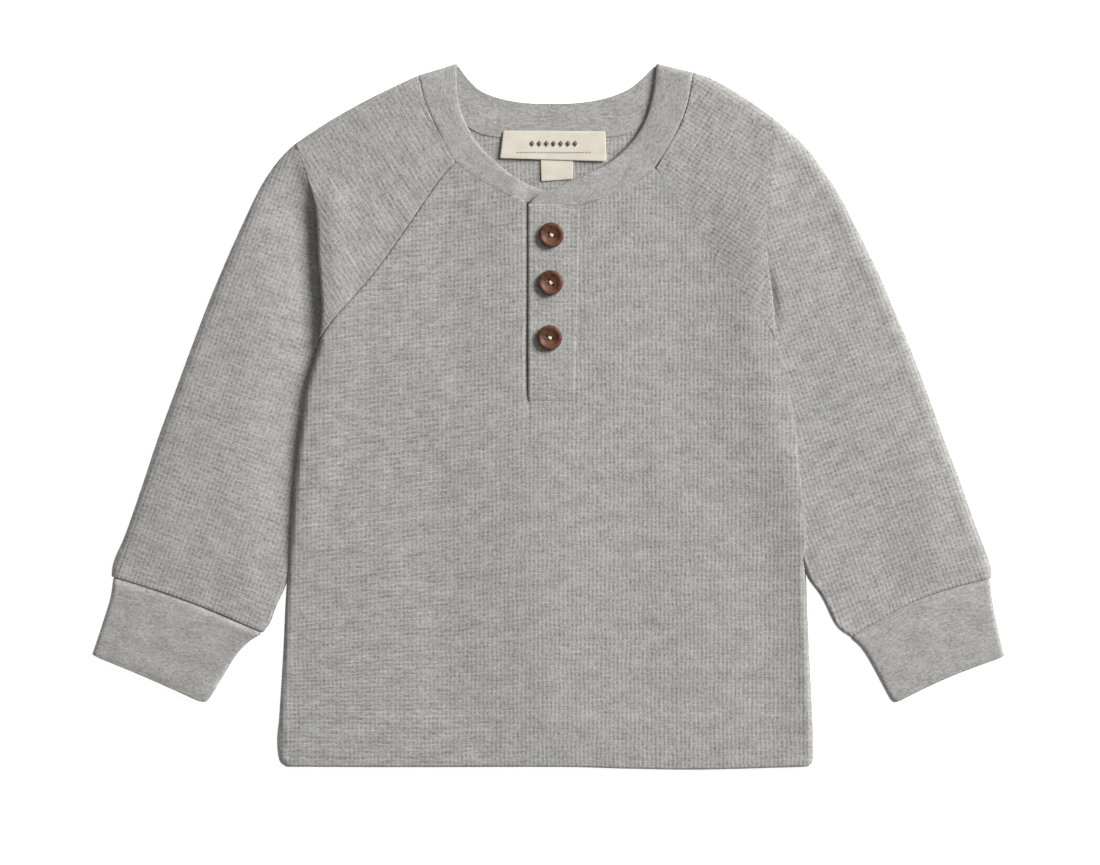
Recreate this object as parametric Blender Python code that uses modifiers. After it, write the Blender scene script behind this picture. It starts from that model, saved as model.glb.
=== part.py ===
"""A toddler's raglan henley in waffle knit, laid flat with its front up.

Run with: blender --background --python part.py

The shirt lies on the plane Z = 0. +X is the wearer's left, +Y runs from hem to collar, +Z is up out of
the front. Each cut piece is an open surface lofted through sections and given its cloth's thickness by
Solidify. Sizes and tables are in millimetres and are scaled to metres where the meshes are made.
"""

import math

import bmesh
import bpy
import numpy as np

MM = 0.001

# Cloth
WAFFLE_CLOTH = 1.6
JERSEY_BAND_CLOTH = 2.2
PLACKET_CLOTH = 1.9
LABEL_CLOTH = 0.4
TAB_CLOTH = 0.4
SEAM_GAP = 0.3
NECK_SEAM_GAP = 0.65
SIDE_SEAM_GAP = 0.7
RAGLAN_GAP = 0.5
UNDERARM_GAP = 1.4

# Heights of outer faces above the surface that the shirt lies on
BODY_TOP = 5.9
VALLEY_TOP = 3.75
SIDE_SEAM_HEIGHT = 3.0
FOLD_HEIGHT = 3.1
SLEEVE_CROWN = 0.5
CUFF_TOP = 6.2
HEM_DROP = 0.9
HEM_DROP_LENGTH = 14.0
BAND_PROUD = 0.3
BAND_END_RISE = 0.5
BAND_RISES_BETWEEN = (14.0, 34.0)
BAND_UNDER_TOP = 4.1
BAND_SINKS_BETWEEN = (-20.0, -9.5)
PLACKET_PROUD = 0.45

# Rounding of the folded edges, measured across the cloth
SIDE_ROUND = 3.0
SLEEVE_ROUND = 5.5
CUFF_ROUND = 4.2
UNDERSIDE_ROUND = 3.0
BAND_FOLD_ROUND = 3.4
FOLD_FIRST_ANGLE = 0.14

# Placket, with the wearer's left side on top
PLACKET_LEFT = -10.0
PLACKET_RIGHT = 13.4
PLACKET_BOTTOM = 7.4
PLACKET_TOP = 105.6
SLIT_DIP = 0.8
SLIT_DIP_WIDTH = 9.0
SLIT_DIP_BETWEEN = (-12.6, 13.4)
UNDERLAP_TOP = 3.9
UNDERLAP_END = 103.5

# Buttons
BUTTON_DIAMETER = 12.5
BUTTON_THICKNESS = 2.7
BUTTON_DISH_DEPTH = 0.8
BUTTON_DISH = (
    # radius, how much of the dish's depth is left there
    (0.0, 1.0),
    (3.0, 1.0),
    (4.0, 0.6),
    (4.7, 0.0),
)
BUTTON_HOLE_DIAMETER = 1.6
BUTTON_HOLE_SPACING = 2.6
BUTTON_EDGE_ROUND = 0.9
BUTTON_CENTRES = (
    # x, y
    (1.65, 90.6),
    (1.25, 66.8),
    (0.85, 39.3),
)

# Side seam of the body from the hem up to the underarm: y, x at the wearer's right, x at the left
SIDES = (
    (-175.2, -131.0, 130.4),
    (-173.6, -133.6, 132.2),
    (-170.0, -135.0, 132.9),
    (-161.0, -135.6, 132.9),
    (-148.0, -134.4, 132.3),
    (-115.0, -132.4, 130.7),
    (-90.0, -131.2, 129.5),
    (-60.5, -129.1, 128.2),
    (-39.7, -127.4, 127.0),
    (-19.0, -125.4, 125.9),
    (-1.7, -123.2, 124.2),
    (14.4, -120.8, 120.6),
    (26.8, -117.4, 116.6),
    (38.0, -114.2, 113.8),
)
UNDERARM_Y = 38.0
SIDE_FOLD_ENDS_BETWEEN = (32.0, 40.0)
BODY_CENTRE = -1.0
HEM_Y = -175.2

# Raglan seams from the underarm up to the neck: front x and y, then back x and y
RAGLAN_RIGHT = (
    (-114.6, 38.0, -114.6, 38.0),
    (-107.5, 48.2, -104.5, 57.0),
    (-98.5, 58.3, -95.0, 74.5),
    (-86.0, 73.0, -85.0, 92.0),
    (-73.5, 90.4, -75.0, 109.5),
    (-61.1, 108.6, -65.0, 126.0),
    (-52.8, 120.2, -55.0, 140.5),
    (-46.2, 126.9, -46.5, 150.2),
)
RAGLAN_LEFT = (
    (113.8, 38.0, 113.8, 38.0),
    (108.0, 48.0, 105.0, 57.0),
    (99.5, 58.0, 96.5, 74.5),
    (88.5, 73.0, 87.5, 92.0),
    (77.0, 90.0, 78.0, 109.5),
    (65.0, 108.0, 69.0, 126.0),
    (57.0, 119.8, 59.5, 140.5),
    (51.5, 126.8, 51.5, 150.2),
)

# Hem line: x, y
HEM = ((-131.0, -175.2), (-70.0, -175.4), (6.0, -175.3), (41.5, -176.2), (77.5, -176.6), (130.4, -175.2))

# Outer fold of the sleeve beside each row of the raglan seam, from the underarm up to the neck: x, y
SHOULDER_RIGHT = (
    (-160.5, 79.2),
    (-151.4, 99.3),
    (-142.3, 117.4),
    (-130.5, 132.9),
    (-114.5, 144.6),
    (-97.0, 155.0),
    (-80.0, 163.7),
    (-64.6, 170.9),
)
SHOULDER_LEFT = (
    (163.4, 76.2),
    (153.4, 96.2),
    (143.6, 114.5),
    (130.5, 133.0),
    (116.5, 146.4),
    (100.5, 158.2),
    (84.5, 167.8),
    (72.6, 172.4),
)
# Sleeve sections below the underarm, down to the cuff: inner edge x and y, then outer fold x and y
LOWER_SLEEVE_RIGHT = (
    (-120.1, 19.0, -169.6, 57.6),
    (-124.1, -3.0, -178.2, 35.2),
    (-126.5, -25.0, -186.7, 12.2),
    (-128.1, -45.0, -195.2, -11.0),
    (-129.7, -65.0, -203.6, -36.2),
    (-131.1, -82.0, -211.4, -58.6),
    (-135.7, -94.4, -216.5, -70.2),
    (-139.6, -103.8, -218.2, -76.0),
    (-142.7, -108.3, -218.3, -80.0),
)
LOWER_SLEEVE_LEFT = (
    (119.8, 19.0, 172.2, 56.2),
    (124.6, -3.0, 180.8, 35.6),
    (126.6, -25.0, 189.2, 13.8),
    (127.7, -45.0, 198.2, -11.2),
    (128.7, -65.0, 206.8, -33.6),
    (130.4, -79.5, 214.6, -55.8),
    (136.8, -90.6, 219.6, -68.5),
    (143.2, -104.0, 221.8, -76.0),
    (148.8, -109.6, 221.8, -80.8),
)

# Cuff sections from its seam to its end: inner fold x and y, outer fold x and y
CUFF_RIGHT = (
    (-144.3, -109.2, -217.6, -80.9),
    (-149.0, -112.4, -218.9, -90.0),
    (-155.3, -118.8, -221.7, -99.6),
    (-161.8, -129.0, -224.8, -109.2),
    (-168.0, -139.4, -227.4, -117.0),
    (-171.6, -143.8, -228.2, -119.2),
)
CUFF_LEFT = (
    (150.6, -110.4, 221.1, -81.6),
    (155.0, -115.0, 222.5, -92.0),
    (160.0, -121.2, 224.2, -101.2),
    (164.5, -129.3, 226.2, -110.2),
    (169.0, -137.9, 227.9, -117.2),
    (172.5, -144.0, 228.6, -120.0),
)
# How far the cuff's seam and its end bow up the sleeve, at the right cuff and at the left
CUFF_SEAM_BOW = (1.7, 4.2)
CUFF_END_BOW = (0.5, -0.5)

# Neck seam x and y, then the neckband's finished edge x and y, each list ending on the shoulder fold.
# The first rows of the right front pass under the placket.
NECK_FRONT_RIGHT = (
    (6.0, 104.2, 8.0, 112.4),
    (-2.0, 104.8, -1.5, 113.4),
    (-10.0, 106.0, -9.0, 117.4),
    (-24.0, 112.4, -16.5, 124.0),
    (-36.0, 119.6, -24.0, 130.2),
    (-46.2, 126.9, -31.5, 136.6),
    (-52.9, 134.2, -37.4, 143.4),
    (-59.3, 145.9, -42.6, 152.4),
    (-63.5, 158.3, -45.0, 163.0),
    (-64.6, 170.9, -45.6, 176.7),
)
NECK_FRONT_LEFT = (
    (-9.4, 105.9, -8.4, 108.0),
    (-4.5, 105.9, -4.0, 111.6),
    (3.5, 106.0, 3.8, 115.1),
    (13.4, 106.6, 13.0, 119.2),
    (25.0, 110.6, 21.5, 123.0),
    (36.5, 114.9, 30.5, 127.4),
    (45.0, 120.2, 37.6, 133.4),
    (51.5, 126.8, 43.4, 139.6),
    (62.1, 140.8, 48.8, 149.0),
    (69.5, 156.4, 52.4, 162.0),
    (72.6, 172.4, 54.4, 176.7),
)
# The same across the back, from the wearer's right shoulder fold to the left one
NECK_BACK = (
    (-64.6, 170.9, -45.6, 176.7),
    (-58.0, 158.4, -39.6, 168.6),
    (-46.5, 150.2, -33.0, 162.8),
    (-30.0, 144.7, -22.0, 158.9),
    (-14.0, 142.4, -10.0, 157.1),
    (2.5, 141.8, 2.5, 156.8),
    (19.0, 142.4, 15.0, 157.2),
    (35.0, 144.7, 28.0, 159.3),
    (51.5, 150.2, 39.6, 163.6),
    (64.8, 159.2, 47.6, 169.6),
    (72.6, 172.4, 54.4, 176.7),
)
# Rows of those lists where the placket and the raglan seams meet the neck
RIGHT_PLACKET_ROW, RIGHT_RAGLAN_ROW = 2, 5
LEFT_PLACKET_ROW, LEFT_RAGLAN_ROW = 3, 7
BACK_RIGHT_ROW, BACK_LEFT_ROW = 2, 8

# Neck label and size tab: the corners of each, x and y, from the top left anticlockwise
LABEL_CORNERS = ((-22.2, 141.3), (-24.0, 128.9), (29.6, 128.2), (28.7, 141.3))
TAB_CORNERS = ((-4.0, 141.2), (-3.4, 117.6), (12.4, 118.7), (12.8, 141.2))
TAB_BASE = 1.9
LABEL_BASE = 2.6

# The deep fold where the right sleeve drops away beside the body: y, x of its crest, depth (0 to 1)
RIGHT_CREST = (
    (134.0, -124.5, 0.0),
    (124.4, -121.8, 0.35),
    (110.0, -117.3, 0.8),
    (100.0, -115.9, 1.0),
    (81.0, -115.0, 1.0),
    (67.0, -113.9, 1.0),
    (52.6, -113.2, 1.0),
    (38.0, -114.4, 1.0),
    (14.0, -120.8, 1.0),
    (-20.0, -125.4, 0.9),
    (-60.0, -129.1, 0.6),
    (-90.0, -131.0, 0.25),
    (-110.0, -132.0, 0.1),
)
CREST_DROP_RUN = 3.0
CREST_RECOVERY = 9.0
# A sleeve's inner edge turns down to its seam where its top is higher than the first of these
CLOSED_BETWEEN = (4.4, 6.0)
# The soft valley between the left sleeve and the body: y, x of the body's edge, depth (0 to 1)
LEFT_CREST = (
    (60.0, 113.6, 0.0),
    (38.0, 113.8, 0.35),
    (14.4, 120.6, 0.6),
    (-19.0, 125.9, 0.6),
    (-60.5, 128.2, 0.5),
    (-90.0, 129.7, 0.2),
    (-110.0, 130.6, 0.1),
)

# Largest soft folds: x and y of both ends, half width, height (ridges up, troughs down)
SOFT_FOLDS = (
    (122.0, 130.0, 112.0, 86.0, 9.0, 0.6),
    (111.0, 66.0, 115.0, 34.0, 8.0, 0.6),
    (93.0, 128.0, 96.0, 30.0, 11.0, -0.7),
    (96.0, 30.0, 112.0, -70.0, 10.0, -0.6),
    (118.0, 2.0, 124.0, -74.0, 6.0, 0.7),
    (-36.0, 116.0, -32.0, 24.0, 10.0, -0.45),
    (48.0, 98.0, 46.0, -12.0, 12.0, -0.5),
    (-40.0, -14.0, -26.0, -140.0, 15.0, -0.6),
    (10.0, -30.0, 14.0, -140.0, 15.0, 0.5),
    (-112.0, 104.0, -111.0, 46.0, 6.0, 0.7),
    (-112.0, 24.0, -124.0, -60.0, 7.0, 0.6),
    (-176.0, 10.0, -196.0, -60.0, 9.0, 0.5),
    (-160.0, -60.0, -168.0, -96.0, 8.0, -0.5),
    (182.0, -10.0, 196.0, -66.0, 10.0, 0.5),
    (158.0, -40.0, 172.0, -84.0, 9.0, -0.4),
)

# Points and faces along each form
CURVE_STEPS = 12
HEM_LEVELS = (0.0, 0.006, 0.016, 0.034)
BODY_SIDE_STEPS = 3
FRONT_COLUMNS = 8
BACK_COLUMNS = 4
# Rows of a body panel below the placket, beside it up to the underarm, and above
FRONT_ROWS = (9, 2, 6)
BACK_ROWS = (7, 2, 6)
SLEEVE_ROWS_PER_SECTION = 2
NECK_BEND_ROWS = 5
INNER_FOLD_STEPS = 3
CREST_STATIONS = (-2.5, 0.0, 1.5, 3.0, 6.5, 11.0, 17.0)
LEAST_CREST_DISTANCE = 6.0
CREST_END_CLEARANCE = 6.0
OUTER_SLEEVE_STEPS = 3
OUTER_FOLD_STEPS = 4
UNDER_FOLD_STEPS = 3
BACK_SLEEVE_STEPS = 3
CUFF_FOLD_STEPS = 3
CUFF_LEVEL_STEPS = 4
BAND_FOLD_STEPS = 4
BAND_RIGHT_STEPS = 13
BAND_LEFT_STEPS = 14
BAND_BACK_STEPS = 10
BAND_COLUMNS = (0.12, 0.86, 1.0)
BAND_EDGE_DROP = (0.25, 0.0, 0.0, 0.55)
BUTTON_SIDES = 24

# Colours as linear RGB, with roughness
MATERIALS = {
    "waffle_knit": ((0.365, 0.362, 0.345), 0.95),
    "jersey": ((0.385, 0.382, 0.365), 0.93),
    "label_satin": ((0.78, 0.72, 0.6), 0.75),
    "button_wood": ((0.15, 0.075, 0.05), 0.45),
}


def clear_scene():
    for obj in list(bpy.data.objects):
        bpy.data.objects.remove(obj, do_unlink=True)


def make_material(name):
    colour, roughness = MATERIALS[name]
    material = bpy.data.materials.new(name)
    material.use_nodes = True
    shader = material.node_tree.nodes["Principled BSDF"]
    shader.inputs["Base Color"].default_value = (*colour, 1.0)
    shader.inputs["Roughness"].default_value = roughness
    return material


# ---------------------------------------------------------------- curves and heights


def smooth_through(table, steps=CURVE_STEPS):
    """A Catmull-Rom curve through the rows of a table, with this many points to each row."""
    rows = np.array(table, float)
    padded = np.vstack([2 * rows[0] - rows[1], rows, 2 * rows[-1] - rows[-2]])
    curve = []
    for i in range(1, len(padded) - 2):
        before, start, end, after = padded[i - 1 : i + 3]
        for t in np.linspace(0, 1, steps, endpoint=False):
            bend = (2 * before - 5 * start + 4 * end - after) * t**2
            swing = (3 * start - before - 3 * end + after) * t**3
            curve.append(0.5 * (2 * start + (end - before) * t + bend + swing))
    curve.append(rows[-1])
    return np.array(curve)


def at_fractions(curve, fractions):
    """The curve's rows at these fractions of its length in plan, which its first two columns give."""
    steps = np.linalg.norm(np.diff(curve[:, :2], axis=0), axis=1)
    reached = np.concatenate([[0], np.cumsum(steps)]) / steps.sum()
    return np.stack([np.interp(fractions, reached, column) for column in curve.T], axis=-1)


def stretch(table, first, last, columns=(0, 1)):
    """The smooth curve between two rows of a table."""
    curve = smooth_through(table)[:, columns]
    return curve[first * CURVE_STEPS : last * CURVE_STEPS + 1]


def soft_step(value, start, end):
    t = np.clip((value - start) / (end - start), 0, 1)
    return t * t * (3 - 2 * t)


def soft_folds(x, y):
    total = 0.0
    for x0, y0, x1, y1, width, height in SOFT_FOLDS:
        length = math.hypot(x1 - x0, y1 - y0)
        along_fold = ((x - x0) * (x1 - x0) + (y - y0) * (y1 - y0)) / length**2
        nearest = np.clip(along_fold, 0, 1)
        distance = np.hypot(x - x0 - nearest * (x1 - x0), y - y0 - nearest * (y1 - y0))
        total = total + height * np.exp(-((distance / width) ** 2))
    return total


def crest_at(table, y):
    """A crest's x and depth at these heights along the shirt."""
    rows = np.array(table, float)[::-1]
    return np.interp(y, rows[:, 0], rows[:, 1]), np.interp(y, rows[:, 0], rows[:, 2])


def crest_trough(table, toward, x, y):
    """How far the cloth drops beside a crest, from 0 to 1. The drop lies on the side that toward gives."""
    crest_x, depth = crest_at(table, y)
    distance = (x - crest_x) * toward
    recovery = np.clip(distance - CREST_DROP_RUN, 0, None) / CREST_RECOVERY
    return depth * soft_step(distance, 0, CREST_DROP_RUN) * np.exp(-(recovery**2))


def front_height(x, y):
    """Height of the shirt's upper face over a plan point."""
    height = BODY_TOP + soft_folds(x, y)
    height = height - HEM_DROP * (1 - soft_step(y, HEM_Y, HEM_Y + HEM_DROP_LENGTH))
    beside_slit = np.exp(-(((x - PLACKET_LEFT) / SLIT_DIP_WIDTH) ** 2)) * (x < PLACKET_LEFT)
    height = height - SLIT_DIP * beside_slit * soft_step(y, *SLIT_DIP_BETWEEN)
    trough = crest_trough(RIGHT_CREST, -1, x, y) + crest_trough(LEFT_CREST, 1, x, y)
    return height - trough * (height - VALLEY_TOP)


def fold_quarter(count):
    """Angles from a folded edge, at 0, up to where the cloth lies level. The first step is upright."""
    return np.concatenate([[0], np.linspace(FOLD_FIRST_ANGLE, math.pi / 2, count)])


def edge_rounding(steps, columns):
    """How far each column has turned down from level: 1 at the folded edge, 0 past the rounding."""
    turned = np.zeros(columns)
    turned[: steps + 1] = 1 - np.sin(fold_quarter(steps))
    return turned


def lift(plan, height):
    """Plan points with their heights, as x, y, z."""
    return np.concatenate([plan, np.broadcast_to(height, plan.shape[:-1])[..., None]], axis=-1)


# ---------------------------------------------------------------- meshes


def link_cloth(name, grid, thickness, material, collection, skip=None, ring=False):
    """An open surface through a grid of points, made a wall on its inner side by Solidify.

    The faces turn outwards where the rows run up and the columns run right, seen from outside.
    skip(row, column) leaves a face out, and ring joins the last column to the first.
    """
    mesh = bmesh.new()
    rows, columns = grid.shape[:2]
    points = [[mesh.verts.new(grid[r, c] * MM) for c in range(columns)] for r in range(rows)]
    for r in range(rows - 1):
        for c in range(columns if ring else columns - 1):
            if skip and skip(r, c):
                continue
            after = (c + 1) % columns
            mesh.faces.new((points[r][c], points[r][after], points[r + 1][after], points[r + 1][c]))
    loose = [vertex for vertex in mesh.verts if not vertex.link_faces]
    bmesh.ops.delete(mesh, geom=loose, context="VERTS")
    obj = link_mesh(name, mesh, material, collection)
    wall = obj.modifiers.new("cloth", "SOLIDIFY")
    wall.thickness = thickness * MM
    wall.offset = -1
    return obj


def link_mesh(name, mesh, material, collection):
    data = bpy.data.meshes.new(name)
    mesh.to_mesh(data)
    mesh.free()
    data.shade_smooth()
    data.materials.append(material)
    obj = bpy.data.objects.new(name, data)
    collection.objects.link(obj)
    return obj


# ---------------------------------------------------------------- body panels


def side_curve(x_column, raglan, raglan_columns):
    """One side of a body panel from the hem to the neck, as x and y."""
    seam = smooth_through(SIDES)[:, [x_column, 0]]
    return np.vstack([seam, smooth_through(raglan)[1:, raglan_columns]])


def at_heights(side, heights):
    return np.stack([np.interp(heights, side[:, 1], side[:, 0]), heights], axis=-1)


def row_levels(below, beside, above):
    """Fractions of a panel's length, with rows at the foot of the placket and at the underarm."""
    foot = (PLACKET_BOTTOM - HEM_Y) / (PLACKET_TOP - HEM_Y)
    underarm = (UNDERARM_Y - HEM_Y) / (RAGLAN_RIGHT[-1][1] - HEM_Y)
    return np.concatenate([
        HEM_LEVELS,
        np.linspace(HEM_LEVELS[-1], foot, below + 1)[1:],
        np.linspace(foot, underarm, beside + 1)[1:],
        np.linspace(underarm, 1, above + 1)[1:],
    ])


def across(start, end, columns):
    """Column fractions from the side's rounded edge to the far edge, for a row between these points."""
    width = np.linalg.norm(np.asarray(end) - start)
    rounded = SIDE_ROUND * (1 - np.cos(fold_quarter(BODY_SIDE_STEPS))) / width
    return np.concatenate([rounded, np.linspace(rounded[-1], 1, columns + 1)[1:]])


def patch(side, inner, bottom, top, levels, columns):
    """A grid of plan points between four edges, its columns counted from the side edge inwards."""
    low, high = side[0, 1], side[-1, 1]
    rows = []
    for level, inner_point in zip(levels, inner):
        side_point = at_heights(side, low + level * (high - low))
        fractions = across(side_point, inner_point, columns)[:, None]
        straight = (1 - fractions) * side_point + fractions * inner_point
        foot = at_fractions(bottom, fractions[:, 0]) - (1 - fractions) * bottom[0] - fractions * bottom[-1]
        head = at_fractions(top, fractions[:, 0]) - (1 - fractions) * top[0] - fractions * top[-1]
        rows.append(straight + (1 - level) * foot + level * head)
    return np.array(rows)


def split_curve(curve, x):
    """The parts of a curve that runs towards +X up to x and from x on."""
    cut = np.array([[x, np.interp(x, curve[:, 0], curve[:, 1])]])
    return np.vstack([curve[curve[:, 0] < x], cut]), np.vstack([cut, curve[curve[:, 0] > x]])


def side_fold(plan):
    """How far each point of a body panel has turned down towards the side seam."""
    folded = 1 - soft_step(plan[:, :1, 1], *SIDE_FOLD_ENDS_BETWEEN)
    return edge_rounding(BODY_SIDE_STEPS, plan.shape[1]) * folded


def make_front_panel(materials, collection):
    levels = row_levels(*FRONT_ROWS)
    hem = smooth_through(HEM)
    hem_right = split_curve(hem, PLACKET_LEFT)[0]
    hem_left = split_curve(hem, PLACKET_RIGHT)[1][::-1]
    neck_right = stretch(NECK_FRONT_RIGHT, RIGHT_PLACKET_ROW, RIGHT_RAGLAN_ROW)[::-1]
    neck_left = stretch(NECK_FRONT_LEFT, LEFT_PLACKET_ROW, LEFT_RAGLAN_ROW)[::-1]
    halves = []
    for x_column, raglan, neck, bottom, slot_x in (
        (1, RAGLAN_RIGHT, neck_right, hem_right, PLACKET_LEFT - SEAM_GAP / 2),
        (2, RAGLAN_LEFT, neck_left, hem_left, PLACKET_RIGHT + SEAM_GAP / 2),
    ):
        slot_y = bottom[-1, 1] + levels * (neck[-1, 1] - bottom[-1, 1])
        foot_row = int(np.argmin(abs(slot_y - PLACKET_BOTTOM)))
        slot_y[foot_row] = PLACKET_BOTTOM - SEAM_GAP
        inner = np.stack([np.full(len(levels), slot_x), slot_y], axis=-1)
        side = side_curve(x_column, raglan, (0, 1))
        plan = patch(side, inner, bottom, neck, levels, FRONT_COLUMNS)
        height = front_height(plan[..., 0], plan[..., 1])
        seam_drop = height - SIDE_SEAM_HEIGHT - SIDE_SEAM_GAP / 2
        halves.append(lift(plan, height - side_fold(plan) * seam_drop))
    right, left = halves
    slot_column = right.shape[1] - 1
    return link_cloth(
        "front_panel", np.concatenate([right, left[:, ::-1]], axis=1), WAFFLE_CLOTH,
        materials["waffle_knit"], collection,
        skip=lambda r, c: c == slot_column and r >= foot_row,
    )


def make_back_panel(materials, collection):
    levels = row_levels(*BACK_ROWS)
    hem_right, hem_left = split_curve(smooth_through(HEM), BODY_CENTRE)
    neck = stretch(NECK_BACK, BACK_RIGHT_ROW, BACK_LEFT_ROW)
    neck_right, neck_left = split_curve(neck, BODY_CENTRE)
    halves = []
    for x_column, raglan, bottom, top in (
        (1, RAGLAN_RIGHT, hem_right, neck_right),
        (2, RAGLAN_LEFT, hem_left[::-1], neck_left[::-1]),
    ):
        inner_y = bottom[-1, 1] + levels * (top[-1, 1] - bottom[-1, 1])
        inner = np.stack([np.full(len(levels), BODY_CENTRE), inner_y], axis=-1)
        side = side_curve(x_column, raglan, (2, 3))
        plan = patch(side, inner, bottom, top, levels, BACK_COLUMNS)
        halves.append(lift(plan, side_fold(plan) * (SIDE_SEAM_HEIGHT - SIDE_SEAM_GAP / 2)))
    right, left = halves
    grid = np.concatenate([right, left[:, -2::-1]], axis=1)
    return link_cloth("back_panel", grid[:, ::-1], WAFFLE_CLOTH, materials["waffle_knit"], collection)


# ---------------------------------------------------------------- sleeves and cuffs


def sleeve_rows(raglan, shoulder, lower):
    """Sleeve sections from neck to cuff: front inner x and y, back inner x and y, outer fold x and y."""
    upper = [seam + fold for seam, fold in zip(raglan[::-1], shoulder[::-1])]
    rest = [(inner_x, inner_y, inner_x, inner_y, fold_x, fold_y) for inner_x, inner_y, fold_x, fold_y in lower]
    return smooth_through(upper + rest, SLEEVE_ROWS_PER_SECTION)


def bowed(start, end, fractions, bow):
    """Points from start to end that bow to one side, up the sleeve where bow is over 0."""
    run = np.asarray(end) - start
    sideways = np.array([-run[1], run[0]]) / np.linalg.norm(run)
    if sideways[1] < 0:
        sideways = -sideways
    straight = np.outer(1 - fractions, start) + np.outer(fractions, end)
    return straight + np.outer(bow * np.sin(math.pi * fractions), sideways)


def neck_bend(curve, fractions):
    """How far the neck seam lies off the straight line between its ends."""
    return at_fractions(curve, fractions) - np.outer(1 - fractions, curve[0]) - np.outer(fractions, curve[-1])


def crest_distance(table, start, end):
    """Distance from the inner edge at which a sleeve section crosses a crest, 0 where it starts past it."""
    fractions = np.linspace(0, 1, 120)
    x = start[0] + fractions * (end[0] - start[0])
    y = start[1] + fractions * (end[1] - start[1])
    before = abs(x) < abs(crest_at(table, y)[0])
    return before.cumprod().mean() * math.dist(start, end)


def sleeve_stations(width, crest, gap):
    """Distances from a sleeve's inner edge to where its front meets the outer rounding."""
    rounded = SIDE_ROUND * (1 - np.cos(fold_quarter(INNER_FOLD_STEPS)))
    level_end = width - SLEEVE_ROUND
    crest = np.clip(crest, LEAST_CREST_DISTANCE, level_end - CREST_STATIONS[-1] - CREST_END_CLEARANCE)
    beside = crest + np.array(CREST_STATIONS)
    rest = np.linspace(beside[-1], level_end, OUTER_SLEEVE_STEPS + 1)[1:]
    return np.concatenate([rounded + gap, beside, rest])


def sleeve_front(row, bow, near_neck, neck, crest, closed, gap):
    """The front of one sleeve section, from its inner edge to the crown of its outer fold."""
    inner, fold = row[0:2], row[4:6]
    width = math.dist(inner, fold)
    stations = sleeve_stations(width, crest_distance(crest, inner, fold), gap)
    turning = np.linspace(0, math.pi / 2, OUTER_FOLD_STEPS + 1)[1:]
    turned = width - SLEEVE_ROUND * (1 - np.sin(turning))
    fractions = np.concatenate([stations, turned]) / width
    plan = bowed(inner, fold, fractions, bow) + near_neck * neck_bend(neck, fractions)
    height = front_height(plan[:, 0], plan[:, 1]) + SLEEVE_CROWN * np.sin(math.pi * fractions)
    level = height[len(stations) - 1]
    height[len(stations) :] = FOLD_HEIGHT + (level - FOLD_HEIGHT) * np.cos(turning)
    closed = closed * soft_step(height[INNER_FOLD_STEPS], *CLOSED_BETWEEN)
    drop = height - SIDE_SEAM_HEIGHT - SEAM_GAP / 2
    return lift(plan, height - closed * edge_rounding(INNER_FOLD_STEPS, len(height)) * drop)


def sleeve_back(row, bow, near_neck, neck):
    """The underside of one sleeve section, from just past its outer fold to its inner edge."""
    inner, fold = row[2:4], row[4:6]
    width = math.dist(inner, fold)
    turning = np.linspace(0, math.pi / 2, UNDER_FOLD_STEPS + 1)[1:]
    level = np.linspace(UNDERSIDE_ROUND, width - SEAM_GAP, BACK_SLEEVE_STEPS + 1)[1:]
    fractions = np.concatenate([UNDERSIDE_ROUND * (1 - np.cos(turning)), level]) / width
    plan = bowed(fold, inner, fractions, bow) + near_neck * neck_bend(neck, fractions)
    height = np.zeros(len(plan))
    height[: len(turning)] = FOLD_HEIGHT * (1 - np.sin(turning))
    return lift(plan, height)


def make_sleeve(name, side, raglan, shoulder, lower, front_neck, back_neck, crest, materials, collection):
    """A sleeve from its front seam over the outer fold to its back seam, side 0 at the wearer's right."""
    rows = sleeve_rows(raglan, shoulder, lower)
    underarm = (len(raglan) - 1) * SLEEVE_ROWS_PER_SECTION
    sections = []
    for index, row in enumerate(rows):
        near_neck = max(0.0, 1 - index / NECK_BEND_ROWS) ** 2
        bow = CUFF_SEAM_BOW[side] * soft_step(index, underarm, len(rows) - 1)
        closed = soft_step(index, underarm - 1, underarm + 2)
        near_underarm = math.exp(-(((index - underarm - 1) / 2) ** 2))
        gap = RAGLAN_GAP + near_underarm * (UNDERARM_GAP - RAGLAN_GAP)
        front = sleeve_front(row, bow, near_neck, front_neck, crest, closed, gap)
        sections.append(np.concatenate([front, sleeve_back(row, bow, near_neck, back_neck)]))
    grid = np.array(sections)[::-1]
    if side == 0:
        grid = grid[:, ::-1]
    return link_cloth(name, grid, WAFFLE_CLOTH, materials["waffle_knit"], collection)


def make_sleeves(materials, collection):
    right_last, left_last = len(NECK_FRONT_RIGHT) - 1, len(NECK_FRONT_LEFT) - 1
    make_sleeve(
        "right_sleeve", 0, RAGLAN_RIGHT, SHOULDER_RIGHT, LOWER_SLEEVE_RIGHT,
        stretch(NECK_FRONT_RIGHT, RIGHT_RAGLAN_ROW, right_last), stretch(NECK_BACK, 0, BACK_RIGHT_ROW),
        RIGHT_CREST, materials, collection,
    )
    make_sleeve(
        "left_sleeve", 1, RAGLAN_LEFT, SHOULDER_LEFT, LOWER_SLEEVE_LEFT,
        stretch(NECK_FRONT_LEFT, LEFT_RAGLAN_ROW, left_last),
        stretch(NECK_BACK, BACK_LEFT_ROW, len(NECK_BACK) - 1)[::-1],
        LEFT_CREST, materials, collection,
    )


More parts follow.
